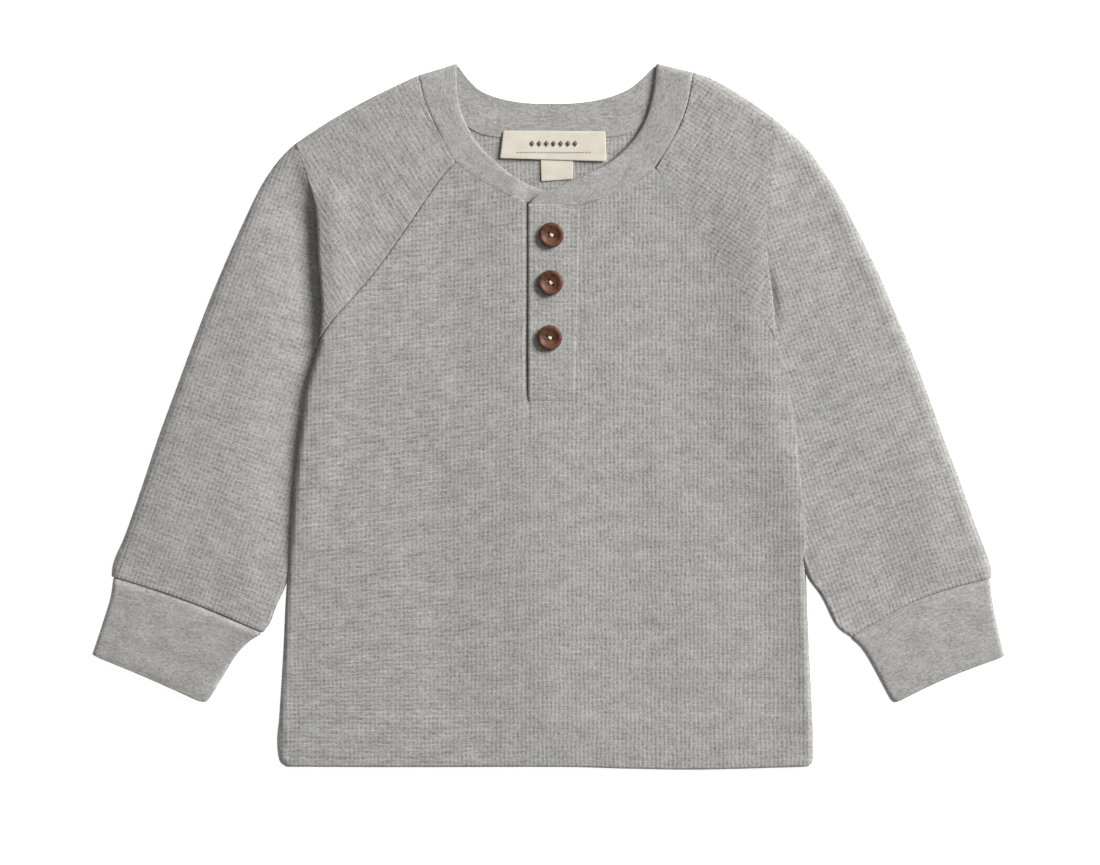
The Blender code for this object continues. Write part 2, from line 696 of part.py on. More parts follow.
def make_cuff(name, side, table, materials, collection):
    """A cuff as a flattened tube, its sections running from the inner fold over the top and back below."""
    rings = []
    for index, row in enumerate(np.array(table)):
        inner, fold = row[0:2], row[2:4]
        width = math.dist(inner, fold)
        down = soft_step(index / (len(table) - 1), 0, 1)
        bow = CUFF_SEAM_BOW[side] * (1 - down) + CUFF_END_BOW[side] * down
        rising = np.linspace(0, math.pi / 2, CUFF_FOLD_STEPS + 1)
        level = np.linspace(CUFF_ROUND, width - CUFF_ROUND, CUFF_LEVEL_STEPS + 1)[1:-1]
        start = CUFF_ROUND * (1 - np.cos(rising))
        over = np.concatenate([start, level, (width - start)[::-1]]) / width
        top = bowed(inner, fold, over, bow)
        height = CUFF_TOP + soft_folds(top[:, 0], top[:, 1])
        turned = np.ones(len(over))
        turned[: len(rising)] = np.sin(rising)
        turned[-len(rising) :] = np.sin(rising)[::-1]
        height = FOLD_HEIGHT + (height - FOLD_HEIGHT) * turned
        under_start = UNDERSIDE_ROUND * (1 - np.cos(rising[1:]))
        under = np.concatenate([under_start, level, (width - under_start)[::-1]])[::-1] / width
        sunk = np.zeros(len(under))
        sunk[: len(under_start)] = 1 - np.sin(rising[1:])
        sunk[-len(under_start) :] = 1 - np.sin(rising[1:])[::-1]
        bottom = lift(bowed(inner, fold, under, bow), FOLD_HEIGHT * sunk)
        rings.append(np.concatenate([lift(top, height), bottom]))
    grid = np.array(rings)[::-1]
    if side == 0:
        grid = grid[:, ::-1]
    return link_cloth(name, grid, JERSEY_BAND_CLOTH, materials["jersey"], collection, ring=True)


# ---------------------------------------------------------------- neckband and placket


def band_front(table, level_steps):
    """Seam and edge of the band's front, from the placket to the shoulder fold, with how far it has turned."""
    curve = smooth_through(table)
    length = np.linalg.norm(np.diff(curve[:, :2], axis=0), axis=1).sum()
    level = np.linspace(0, 1 - BAND_FOLD_ROUND / length, level_steps + 1)
    turning = np.linspace(0, math.pi / 2, BAND_FOLD_STEPS + 1)[1:]
    turned = 1 - BAND_FOLD_ROUND * (1 - np.sin(turning)) / length
    angles = np.concatenate([np.zeros(len(level)), turning])
    return at_fractions(curve, np.concatenate([level, turned])), angles


def band_back():
    """Seam and edge of the band's back from fold to fold, with how far each row has turned under."""
    curve = smooth_through(NECK_BACK)
    length = np.linalg.norm(np.diff(curve[:, :2], axis=0), axis=1).sum()
    turning = np.linspace(0, math.pi / 2, BAND_FOLD_STEPS + 1)[1:]
    start = UNDERSIDE_ROUND * (1 - np.cos(turning)) / length
    level = np.linspace(start[-1], 1 - start[-1], BAND_BACK_STEPS + 1)[1:-1]
    angles = np.concatenate([turning, np.full(len(level), math.pi / 2), turning[::-1]])
    return at_fractions(curve, np.concatenate([start, level, (1 - start)[::-1]])), angles


def band_rows(lines, heights, edge_drop):
    """Points across the band from seam to finished edge, for each of its rows."""
    rows = []
    for (seam_x, seam_y, edge_x, edge_y), height, drop in zip(lines, heights, edge_drop):
        width = math.hypot(edge_x - seam_x, edge_y - seam_y)
        across_band = np.array([NECK_SEAM_GAP / width, *BAND_COLUMNS])
        x = seam_x + across_band * (edge_x - seam_x)
        y = seam_y + across_band * (edge_y - seam_y)
        rows.append(np.stack([x, y, height - drop * np.array(BAND_EDGE_DROP)], axis=-1))
    return rows


def make_neckband(materials, collection):
    right, right_angles = band_front(NECK_FRONT_RIGHT, BAND_RIGHT_STEPS)
    left, left_angles = band_front(NECK_FRONT_LEFT, BAND_LEFT_STEPS)
    back, back_angles = band_back()
    right_top = front_height(right[:, 0], right[:, 1]) + BAND_PROUD
    under = soft_step(right[:, 0], *BAND_SINKS_BETWEEN)
    right_top = right_top + under * (BAND_UNDER_TOP - right_top)
    left_top = front_height(np.maximum(left[:, 0], PLACKET_LEFT), left[:, 1]) + BAND_PROUD
    left_top = left_top + BAND_END_RISE * (1 - soft_step(left[:, 0], *BAND_RISES_BETWEEN))
    right_height = FOLD_HEIGHT + (right_top - FOLD_HEIGHT) * np.cos(right_angles)
    rows = band_rows(right, right_height, np.cos(right_angles) * (1 - under))
    rows += band_rows(back, FOLD_HEIGHT * (1 - np.sin(back_angles)), np.zeros(len(back)))
    left_height = FOLD_HEIGHT + (left_top - FOLD_HEIGHT) * np.cos(left_angles)
    rows += band_rows(left, left_height, np.cos(left_angles))[::-1]
    return link_cloth("neckband", np.array(rows), JERSEY_BAND_CLOTH, materials["jersey"], collection)


def placket_top(x, y):
    return front_height(np.maximum(x, PLACKET_LEFT), y) + PLACKET_PROUD


def strip_grid(left, right, bottom, top, columns, rows, height):
    """A flat strip's grid, with a height that a function of x and y gives."""
    x, y = np.meshgrid(np.linspace(left, right, columns), np.linspace(bottom, top, rows))
    return np.stack([x, y, height(x, y)], axis=-1)


def make_placket(materials, collection):
    overlap = strip_grid(
        PLACKET_LEFT, PLACKET_RIGHT - SEAM_GAP / 2, PLACKET_BOTTOM, PLACKET_TOP, 5, 14, placket_top
    )
    link_cloth("placket_overlap", overlap, PLACKET_CLOTH, materials["waffle_knit"], collection)
    underlap = strip_grid(
        PLACKET_LEFT + SEAM_GAP / 2, PLACKET_RIGHT - SEAM_GAP, PLACKET_BOTTOM, UNDERLAP_END, 3, 3,
        lambda x, y: np.full(x.shape, UNDERLAP_TOP),
    )
    link_cloth("placket_underlap", underlap, WAFFLE_CLOTH, materials["waffle_knit"], collection)


# ---------------------------------------------------------------- buttons and label


def button_profile():
    """Half a button's outline as radius and height, from the middle of its dish round to its underside."""
    points = [(radius, BUTTON_THICKNESS - depth * BUTTON_DISH_DEPTH) for radius, depth in BUTTON_DISH]
    rim_middle = BUTTON_DIAMETER / 2 - BUTTON_EDGE_ROUND
    for angle in np.linspace(math.pi / 2, -math.pi / 2, 5):
        height = BUTTON_EDGE_ROUND * math.sin(angle)
        height += BUTTON_THICKNESS - BUTTON_EDGE_ROUND if angle >= 0 else BUTTON_EDGE_ROUND
        points.append((rim_middle + BUTTON_EDGE_ROUND * math.cos(angle), height))
    points.append((0, 0))
    return points


def make_button(number, x, y, material, collection, cutters):
    base = placket_top(np.float64(x), np.float64(y)) + SEAM_GAP
    mesh = bmesh.new()
    ring = [mesh.verts.new((radius * MM, 0, height * MM)) for radius, height in button_profile()]
    for start, end in zip(ring, ring[1:]):
        mesh.edges.new((start, end))
    button = link_mesh(f"button_{number}", mesh, material, collection)
    button.location = (x * MM, y * MM, base * MM)
    turn = button.modifiers.new("turn", "SCREW")
    turn.steps = turn.render_steps = BUTTON_SIDES
    turn.use_merge_vertices = True
    turn.merge_threshold = 0.00001
    for side in (-1, 1):
        bpy.ops.mesh.primitive_cylinder_add(
            vertices=8, radius=BUTTON_HOLE_DIAMETER / 2 * MM, depth=3 * BUTTON_THICKNESS * MM,
            location=((x + side * BUTTON_HOLE_SPACING / 2) * MM, y * MM, base * MM),
        )
        cutter = bpy.context.object
        cutter.name = f"button_{number}_hole_{side}"
        cutter.hide_render = True
        cutter.display_type = "WIRE"
        for owner in cutter.users_collection:
            owner.objects.unlink(cutter)
        cutters.objects.link(cutter)
        hole = button.modifiers.new("hole", "BOOLEAN")
        hole.object = cutter


def make_patch_label(name, corners, base, thickness, material, collection):
    """A flat label between its four corners, lying just clear of the back panel."""
    top_left, bottom_left, bottom_right, top_right = (np.array(corner) for corner in corners)
    across_label = np.linspace(0, 1, 5)[:, None]
    bottom = bottom_left + across_label * (bottom_right - bottom_left)
    top = top_left + across_label * (top_right - top_left)
    grid = np.array([lift(edge, base + thickness) for edge in (bottom, (bottom + top) / 2, top)])
    return link_cloth(name, grid, thickness, material, collection)


def build_shirt():
    clear_scene()
    collection = bpy.data.collections.new("henley_shirt")
    cutters = bpy.data.collections.new("cutters")
    for owner in (collection, cutters):
        bpy.context.scene.collection.children.link(owner)
    materials = {name: make_material(name) for name in MATERIALS}
    make_back_panel(materials, collection)
    make_front_panel(materials, collection)
    make_sleeves(materials, collection)
    make_cuff("right_cuff", 0, CUFF_RIGHT, materials, collection)
    make_cuff("left_cuff", 1, CUFF_LEFT, materials, collection)
    make_neckband(materials, collection)
    make_placket(materials, collection)
    for number, (x, y) in enumerate(BUTTON_CENTRES, start=1):
        make_button(number, x, y, materials["button_wood"], collection, cutters)
    make_patch_label("size_tab", TAB_CORNERS, TAB_BASE, TAB_CLOTH, materials["label_satin"], collection)
    make_patch_label("neck_label", LABEL_CORNERS, LABEL_BASE, LABEL_CLOTH, materials["label_satin"], collection)


build_shirt()
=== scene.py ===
"""Looks for a baby's raglan henley in grey heather waffle knit, laid flat with its front up.

The cloth pieces are thin shells on the forms of the CAD solids. Each waffle piece is a grid along the
knit's own wales and courses, clipped to the piece's outline and turned down at its edges. Sizes and
tables are in millimetres, in the CAD model's frame, and are scaled to metres where the meshes are made.
Where a value has two parts for the sides, the wearer's right comes first.
"""

import math

import bmesh
import bpy
import numpy as np
from mathutils import Matrix, Vector, kdtree


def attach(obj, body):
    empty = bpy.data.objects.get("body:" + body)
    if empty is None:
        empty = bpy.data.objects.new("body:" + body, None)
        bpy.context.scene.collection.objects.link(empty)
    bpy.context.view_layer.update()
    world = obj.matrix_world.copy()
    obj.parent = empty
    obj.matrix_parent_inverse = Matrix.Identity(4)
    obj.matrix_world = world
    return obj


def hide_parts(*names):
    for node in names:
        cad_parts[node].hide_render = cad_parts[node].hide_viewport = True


MM = 0.001

# Knit: the width and height of a cell, the depth of its pit, and how far its ridges bridge one another
WALE = 2.1
COURSE = 2.45
RELIEF = 0.24
PLACKET_RELIEF = 0.18
BRIDGE = 0.5
# How far from a rim the relief fades, where the rim turns down by FULL_FADE_DROP and where it lies flush
RELIEF_FADE = 2.4
FLUSH_FADE = 0.5
FULL_FADE_DROP = 0.5
FADE_STARTS = 0.08
# How far the courses outweigh the ribs, from 0 to 1, on the body and on each sleeve's parts
BODY_COURSES = (0.8, 0.15)
BODY_COURSES_BETWEEN = (-75.0, 20.0)
CAP_COURSES = (0.8, 0.8)
ARM_COURSES = (0.4, 0.6)
PLACKET_COURSES = 0.5
# Size of the patches and amount of the knit's unevenness, in plan and in depth, with their first seeds
YARN_WANDER = ((3.2, 0.3), (14.0, 0.35))
WANDER_SEED = 21
RELIEF_PATCHES = ((2.6, 0.6), (9.0, 0.4))
RELIEF_SEED = 11
NOISE_CELLS = 97
# The grid's steps across and along the cloth, and the least share of a step between its points and an edge
GRID_ACROSS = WALE / 2
GRID_ALONG = COURSE / 2
EDGE_MARGIN = 0.3
ROW_MARGIN = 0.4
# Least distances of the first and last rows from the rim
RIM_GAP = 0.05
SLEEVE_TOP_GAP = 0.4
PLACKET_TOP_GAP = 0.3

# Cloth thickness, then the walls that edges turn down to, in the open and at a fold, and their lowest point
WAFFLE_CLOTH = 1.6
JERSEY_BAND_CLOTH = 2.0
UNDERLAP_CLOTH = 1.5
LABEL_CLOTH = 0.4
SHELL_WALL = 1.3
FOLDED_WALL = 0.15
WALL_FLOOR = 0.05
# The back's inside is made from this level up
BACK_INSIDE_FROM = 84.0

# Heights of outer faces above the floor
BODY_TOP = 5.9
VALLEY_TOP = 1.5
LEFT_VALLEY_TOP = 3.75
SIDE_SEAM_HEIGHT = 3.0
FOLD_HEIGHT = 3.1
SLEEVE_CROWN = 0.6
SLEEVE_CROWN_OVER = 25.0
CUFF_TOP = 6.2
HEM_DROP = 0.1
HEM_DROP_LENGTH = 14.0
HEM_FOLD_RISE = 0.3
HEM_FOLD_FADE = 2.0
BAND_PROUD = 0.2
BAND_END_RISE = 0.55
BAND_RISES_BETWEEN = (14.0, 34.0)
BAND_UNDER_TOP = 4.1
BAND_SINKS_BETWEEN = (-20.0, -9.5)
PLACKET_PROUD = 0.75

# Placket
PLACKET_LEFT = -10.0
PLACKET_RIGHT = 13.4
PLACKET_BOTTOM = 7.4
PLACKET_TOP = 107.4
SLIT_EDGE = PLACKET_LEFT + 1.5
SLIT_DIP_WIDTH = 1.1
# y, how far the front dips beside the placket
SLIT_DIPS = ((-14.0, 0.0), (2.0, 0.3), (14.0, 0.8), (24.0, 1.4), (38.0, 1.3), (60.0, 0.7), (108.0, 0.6))
# The trench that the front sinks in under the placket: its depth, and x or y where it starts and is full
PLACKET_TRENCH = 1.6
TRENCH_LEFT = (PLACKET_LEFT - 0.5, PLACKET_LEFT + 1.0)
TRENCH_RIGHT = (PLACKET_RIGHT - 2.2, PLACKET_RIGHT - 0.8)
TRENCH_FOOT = (PLACKET_BOTTOM + 1.0, PLACKET_BOTTOM + 3.0)
PLACKET_TOP_RIGHT = 16.2
PLACKET_SINKS_RIGHT = 0.45
PLACKET_SINKS_BETWEEN = (4.0, 15.0)
PLACKET_FOOT_FADES_BETWEEN = (6.0, 15.0)
UNDERLAP_X = (PLACKET_LEFT + 0.2, PLACKET_RIGHT - 0.3)
UNDERLAP_Y = (PLACKET_BOTTOM, 103.5)
UNDERLAP_TOP = 3.9

# Buttons
BUTTON_DIAMETER = 12.5
BUTTON_THICKNESS = 2.7
BUTTON_CENTRES = ((1.65, 90.6), (1.25, 66.8), (0.85, 39.3))
BUTTON_TURNS = (-0.5, -0.9, -0.35)
BUTTON_RISE = 0.25
BUTTON_SIDES = 64
BUTTON_EDGE_ROUND = 1.05
BUTTON_HOLE_DIAMETER = 1.5
BUTTON_HOLE_SPACING = 2.3
DRILL_LENGTH = 8.0
# Radius, depth below the rim
BUTTON_DISH = ((1.2, 1.05), (2.6, 1.0), (3.6, 0.72), (4.2, 0.3), (4.7, 0.02), (5.0, -0.02))
THREAD_RADIUS = 0.26
THREAD_SPACING = 0.42
THREAD_SWAY = 0.05
THREAD_START = BUTTON_THICKNESS - BUTTON_DISH[0][1] - 0.9
THREAD_RISE = 1.25

# Side seam of the body from the hem up to the underarm: y, x at the wearer's right, x at the left
SIDES = (
    (-175.2, -131.0, 130.4), (-173.6, -133.6, 132.2), (-170.0, -135.0, 132.9), (-161.0, -135.6, 132.9),
    (-148.0, -134.4, 132.3), (-115.0, -132.4, 130.7), (-90.0, -131.2, 129.5), (-60.5, -129.1, 128.2),
    (-39.7, -127.4, 127.0), (-19.0, -125.4, 125.9), (-1.7, -123.2, 124.2), (14.4, -120.8, 120.6),
    (26.8, -117.4, 116.6), (38.0, -114.2, 113.8),
)
UNDERARM_Y = 38.0
HEM_Y = -175.2
# The hem's lowest point is looked for within this distance of the middle
HEM_MIDDLE = 100.0
# The neck opening of the front and the back: its lowest level, the highest course beside it, and the x where
# the lowest course beside it ends on the right and starts on the left
FRONT_OPENING = (104.5, 140.0, -10.6, 14.0)
BACK_OPENING = (140.5, 165.0, 2.0, 3.0)
NECK_CENTRE = 2.0

# Raglan seams from the underarm up to the neck: front x and y, then back x and y
RAGLAN_RIGHT = (
    (-114.6, 38.0, -114.6, 38.0), (-107.5, 48.2, -104.5, 57.0), (-98.5, 58.3, -95.0, 74.5),
    (-86.0, 73.0, -85.0, 92.0), (-73.5, 90.4, -75.0, 109.5), (-61.1, 108.6, -65.0, 126.0),
    (-52.8, 120.2, -55.0, 140.5), (-46.2, 126.9, -46.5, 150.2),
)
RAGLAN_LEFT = (
    (113.8, 38.0, 113.8, 38.0), (108.0, 48.0, 105.0, 57.0), (99.5, 58.0, 96.5, 74.5),
    (88.5, 73.0, 87.5, 92.0), (77.0, 90.0, 78.0, 109.5), (65.0, 108.0, 69.0, 126.0),
    (58.2, 117.6, 59.5, 140.5), (53.2, 124.4, 51.5, 150.2),
)

# Hem line: x, y
HEM = ((-131.0, -175.2), (-70.0, -175.4), (6.0, -175.3), (41.5, -176.2), (77.5, -176.6), (130.4, -175.2))

# Outer fold of the sleeve from the underarm's level up to the neck: x, y
SHOULDER_RIGHT = (
    (-160.5, 79.2), (-151.4, 99.3), (-142.3, 117.4), (-130.5, 132.9), (-114.5, 144.6), (-97.0, 155.0),
    (-80.0, 163.7), (-64.6, 170.9),
)
SHOULDER_LEFT = (
    (163.4, 76.2), (153.4, 96.2), (143.6, 114.5), (130.5, 133.0), (116.5, 146.4), (100.5, 158.2),
    (84.5, 167.8), (72.6, 172.4),
)
# Sleeve sections below the underarm, down to the cuff: inner edge x and y, then outer fold x and y
LOWER_SLEEVE_RIGHT = (
    (-120.1, 19.0, -169.6, 57.6), (-124.1, -3.0, -178.2, 35.2), (-126.5, -25.0, -186.7, 12.2),
    (-128.1, -45.0, -195.2, -11.0), (-129.7, -65.0, -203.6, -36.2), (-131.1, -82.0, -211.4, -58.6),
    (-135.7, -94.4, -216.5, -70.2), (-138.9, -103.2, -218.2, -76.0), (-142.7, -108.3, -218.3, -80.0),
)
LOWER_SLEEVE_LEFT = (
    (119.8, 19.0, 172.2, 56.2), (124.6, -3.0, 180.8, 35.6), (126.6, -25.0, 189.2, 13.8),
    (127.7, -45.0, 198.2, -11.2), (128.7, -65.0, 206.8, -33.6), (130.4, -79.5, 214.6, -55.8),
    (136.8, -90.6, 219.6, -68.5), (144.0, -104.8, 221.8, -76.0), (151.4, -110.6, 221.8, -80.8),
)

# Cuff sections from its seam to its end: inner fold x and y, outer fold x and y
CUFF_RIGHT = (
    (-143.5, -109.1, -217.6, -80.9), (-149.0, -112.4, -218.9, -90.0), (-155.3, -118.8, -221.7, -99.6),
    (-161.8, -129.0, -224.8, -109.2), (-168.0, -139.4, -227.4, -117.0), (-171.6, -143.8, -228.2, -119.2),
)
CUFF_LEFT = (
    (151.4, -111.2, 221.1, -81.6), (156.0, -115.4, 222.5, -92.0), (160.0, -121.2, 224.2, -101.2),
    (164.5, -129.3, 226.2, -110.2), (169.0, -137.9, 227.9, -117.2), (172.5, -144.0, 228.6, -120.0),
)
# The part of each cuff that runs up inside the sleeve, in the same columns
CUFF_TUCKS = (
    ((-146.0, -104.4, -215.4, -77.0), (-143.7, -107.6, -216.9, -79.6)),
    ((153.6, -106.4, 219.0, -77.6), (151.6, -109.6, 220.5, -80.2)),
)
CUFF_TUCK_DROPS = (2.3, 1.7)
CUFF_SEAM_BOW = (1.7, 4.2)
CUFF_END_BOW = (0.5, 1.4)
# Depth and width of the grooves at a cuff's seam and end
CUFF_GROOVES = ((0.8, 1.2), (0.5, 1.2))
# How far the corners of a cuff's end are rounded off, at its last rows: row, inner corner, outer corner
CUFF_CORNERS = ((-3, 0.15, 0.0), (-2, 0.5, 0.15), (-1, 1.3, 0.6))
CUFF_ROUND = 2.6
# Points to a row of a cuff's table, across its level part and along its seam
CUFF_STEPS = 6
CUFF_LEVEL_POINTS = 20
CUFF_SEAM_POINTS = 40
# Rounding of folds on the side that lies on the floor, and the angles of a fold's steps
UNDER_ROUND = 3.0
QUARTER_TURN = np.linspace(0, math.pi / 2, 7)

# Neck seam x and y, then the neckband's finished edge x and y, each list ending on the shoulder fold
NECK_FRONT_RIGHT = (
    (6.0, 104.2, 8.0, 112.4), (-2.0, 104.8, -1.5, 113.4), (-10.0, 106.0, -9.5, 116.2),
    (-24.0, 112.4, -18.0, 121.0), (-36.0, 119.6, -26.4, 128.0), (-46.2, 126.9, -34.0, 135.6),
    (-51.4, 135.8, -39.0, 143.2), (-57.4, 147.6, -42.8, 151.6), (-62.0, 158.6, -45.0, 161.4),
    (-64.6, 170.9, -45.6, 176.7),
)
NECK_FRONT_LEFT = (
    (-9.4, 105.9, -8.4, 108.0), (-4.5, 105.9, -4.0, 111.6), (3.5, 105.6, 3.8, 114.6),
    (13.4, 105.4, 13.0, 118.4), (25.0, 108.4, 21.5, 122.2), (36.5, 112.8, 30.5, 127.0),
    (46.0, 118.4, 37.6, 133.2), (53.2, 124.4, 43.2, 139.4), (63.2, 139.6, 48.8, 149.0),
    (69.8, 156.0, 52.4, 162.0), (72.6, 172.4, 54.4, 176.7),
)
NECK_BACK = (
    (-64.6, 170.9, -45.6, 176.7), (-58.0, 158.4, -39.6, 168.6), (-46.5, 150.2, -33.0, 162.8),
    (-33.0, 141.6, -22.0, 158.9), (-16.0, 140.2, -10.0, 157.1), (2.5, 140.6, 2.5, 156.8),
    (21.0, 140.2, 15.0, 157.2), (38.0, 141.6, 28.0, 159.3), (51.5, 150.2, 39.6, 163.6),
    (64.8, 159.2, 47.6, 169.6), (72.6, 172.4, 54.4, 176.7),
)
RIGHT_PLACKET_ROW, RIGHT_RAGLAN_ROW = 2, 5
LEFT_PLACKET_ROW, LEFT_RAGLAN_ROW = 3, 7
BACK_RIGHT_ROW, BACK_LEFT_ROW = 2, 8

# Distance from the band's seam and drop there where it is a groove, then the drops where it is faint
BAND_SEAM_SIDE = ((-0.8, 1.4), (-0.1, 0.85), (0.35, 0.35), (0.9, 0.08), (2.0, 0.0))
BAND_SEAM_FAINT = (0.6, 0.4, 0.08, 0.01, 0.0)
# The y between which the faint seam turns into a groove, on the right and left, and how deep a groove
BAND_SEAM_DEEP_ABOVE = ((124.0, 150.0), (106.0, 134.0))
BAND_SEAM_DEPTHS = (0.85, 1.55)
# Distance from the band's finished edge and drop there
BAND_EDGE_SIDE = ((1.9, 0.0), (1.0, 0.12), (0.4, 0.45), (0.0, 1.1))
# How far the cloth runs on under the band where the seam is faint, and the share of groove where this ends
NECK_TUCK = 1.1
NECK_TUCK_ENDS = 0.4
# How far the band's finished edge lies below its seam, and the y between which this starts
BAND_SLOPES = (0.4, 1.6)
BAND_SLOPES_FROM = (108.0, 126.0)
# The band's rounding at the shoulder folds, and the width from which its edges have their full size
BAND_FOLD_ROUND = 3.4
BAND_FULL_WIDTH = 8.0
# Steps along the band's front right, front left and back
BAND_STEPS = (45, 50, 50)

# Neck label and size tab: the corners of each, x and y, from the top left anticlockwise
LABEL_CORNERS = ((-22.4, 143.2), (-24.1, 129.2), (29.4, 127.6), (28.8, 142.8))
TAB_CORNERS = ((-4.0, 141.2), (-3.4, 117.6), (12.4, 118.7), (12.8, 141.2))
LABEL_BASE = 2.6
TAB_BASE = 1.9
LABEL_WAVE = 0.25
TAB_WAVE = 0.15
# The label's motif: how many shapes lie to each side of its middle, then their pitch, y, half width and
# half height. Then the x of its middle, and its height above the label and thickness.
MOTIF_ROWS = ((3, 3.6, 136.6, 1.25, 1.55), (12, 1.5, 132.2, 0.42, 0.28))
MOTIF_X = 2.9
MOTIF_RISE = 0.32
MOTIF_THICKNESS = 0.12

# Stitches: pitch, length, and at the hem radius. The placket's rows have their ends, radius and sink.
HEM_STITCH = (2.6, 1.9, 0.17)
HEM_STITCH_SINK = 0.22
HEM_STITCH_ABOVE = 27.5
HEM_STITCH_BETWEEN = (-128.0, 127.0)
PLACKET_STITCH = (2.2, 1.7)
PLACKET_STITCHES = (
    (((-9.4, 17.9), (13.4, 17.9)), 0.16, 0.08),
    (((-9.4, 7.95), (13.4, 7.95)), 0.16, 0.08),
    (((12.2, 8.0), (15.2, 104.0)), 0.13, 0.12),
)
STITCH_END_DROP = 0.25
STITCH_LINE_SPACING = 0.5

# The deep fold where the right sleeve drops away beside the body: y, x of its crest, depth (0 to 1)
RIGHT_CREST = (
    (137.0, -126.5, 0.0), (131.0, -124.0, 0.0), (124.4, -121.8, 0.0), (117.0, -119.4, 0.04),
    (110.0, -117.3, 0.38), (104.0, -116.4, 0.85), (99.0, -115.8, 1.0), (81.0, -115.0, 1.0),
    (67.0, -113.9, 1.0), (52.6, -113.2, 1.0), (38.0, -114.4, 1.0), (14.0, -120.8, 1.0),
    (-20.0, -125.4, 0.9), (-60.0, -129.1, 0.6), (-90.0, -131.0, 0.25), (-110.0, -132.0, 0.1),
)
# How far beyond a crest the cloth comes up again, how sharply it does so below the right sleeve's bend, and
# the distances from a crest between which it drops
CREST_RECOVERY = 19.0
CREST_SHARPNESS = 2.3
CREST_TURNS_OVER = (-0.4, 0.6)
# The slight valley between the body and the left sleeve, in the same columns
LEFT_CREST = (
    (60.0, 113.6, 0.0), (38.0, 113.8, 0.1), (14.4, 120.6, 0.1), (-40.0, 127.0, 0.1),
    (-75.0, 128.8, 0.3), (-90.0, 129.7, 0.2), (-110.0, 130.6, 0.1),
)

# Where the left sleeve's cloth turns from the shoulder down the arm: y, x, depth of the crease (0 to 1)
LEFT_BEND = (
    (149.5, 113.2, 0.0), (135.0, 111.5, 0.0), (120.0, 110.4, 0.0), (106.0, 109.6, 0.0),
    (90.0, 109.2, 0.05), (77.5, 109.8, 0.25), (66.7, 111.3, 0.9), (58.0, 112.5, 1.0),
    (49.7, 113.2, 0.7), (38.0, 113.8, 0.0),
)
BENDS = (RIGHT_CREST, LEFT_BEND)
# Run and drop of the edge along a bend where it is flush, and what the full depth adds to both on each side
BEND_FLUSH = (0.25, 0.05)
BEND_LIPS = ((1.3, 2.6), (0.5, 0.9))
# How the right sleeve's cloth rolls softly down across its bend: y, drop
BEND_ROLL = (
    (132.0, 0.0), (127.0, 0.6), (122.0, 1.4), (117.0, 2.0),
    (110.0, 1.8), (104.0, 0.9), (97.0, 0.25), (52.0, 0.2),
)
# The x from the bend where this roll starts and where it is full, and how far above the underarm it ends
BEND_ROLLS_OVER = (1.6, -5.4)
BEND_ROLL_ENDS_OVER = 12.0
# The left sleeve's crease below its bend: depth and width
LEFT_CREASE = (1.7, 2.0)
# How far the lower patch of a sleeve runs on under the upper one, and what the bend's full depth adds
BEND_TUCK = (2.2, 2.2)
# How far the lower patch sinks there, over which distance, and how far below the bend's top this starts
BEND_SINK = 0.6
BEND_SINKS_OVER = 1.2
BEND_SINKS_BELOW_TOP = (4.0, 8.0)
# How far it runs on at the underarm and at the shoulder, over which y and how many steps of its curve
UNDERARM_TUCK = 2.8
UNDERARM_TUCK_OVER = 14.0
SHOULDER_TUCK = 9.0
SHOULDER_TUCK_OVER = 18
# How many steps of the shoulder fold it runs up behind the upper patch, and how far below the fold
SHOULDER_TUCK_STEPS = 9
SHOULDER_HIDE = 3.5
# The y between which the body and the left sleeve start to touch
TOUCHING_BETWEEN = (-78.0, -62.0)
# How far a sleeve's inner edge runs on under the body's side, the y between which this starts, and its
# first point below the underarm
BESIDE_BODY = 2.2
BESIDE_BODY_BETWEEN = (-90.0, -68.0)
BELOW_UNDERARM = ((-114.2, 30.0), (113.6, 30.0))
# Signs of the x that leads from each sleeve toward the body
TOWARD_BODY = (1, -1)
# Points of a sleeve's outline this close to its lowest one are on the cuff seam, if there are this many
WRIST_BAND = 3.0
WRIST_POINTS = 60

# Soft folds: half width, height (ridges up, troughs down), then the points of its line
SOFT_FOLDS = (
    (7.0, 0.8, (113.0, 142.0), (109.0, 112.0)),
    (15.0, 1.8, (101.0, 100.0), (103.0, 60.0), (108.0, 20.0), (113.0, -10.0), (126.0, -45.0), (134.0, -80.0),
     (140.0, -150.0)),
    (18.0, -0.5, (60.0, 105.0), (64.0, 40.0), (70.0, -10.0), (88.0, -45.0), (106.0, -80.0), (116.0, -150.0)),
    (12.0, 0.5, (-14.0, 104.0), (-16.0, 24.0)),
    (12.0, -0.6, (-50.0, 112.0), (-46.0, 24.0)),
    (22.0, 1.0, (-6.0, -24.0), (-2.0, -146.0)),
    (18.0, -0.8, (-62.0, -20.0), (-50.0, -140.0)),
    (18.0, -0.5, (44.0, -40.0), (48.0, -140.0)),
    (9.0, 2.3, (-108.0, 106.0), (-107.5, 52.0)),
    (10.0, 1.1, (-108.0, 36.0), (-121.0, -60.0)),
    (12.0, 0.6, (-92.0, 96.0), (-90.0, 30.0)),
    (9.0, 0.6, (-176.0, 10.0), (-196.0, -60.0)),
    (8.0, -0.6, (-160.0, -60.0), (-168.0, -96.0)),
    (10.0, 0.6, (182.0, -10.0), (196.0, -66.0)),
    (9.0, -0.5, (158.0, -40.0), (172.0, -84.0)),
    (9.0, -0.5, (136.0, 96.0), (146.0, 60.0)),
)

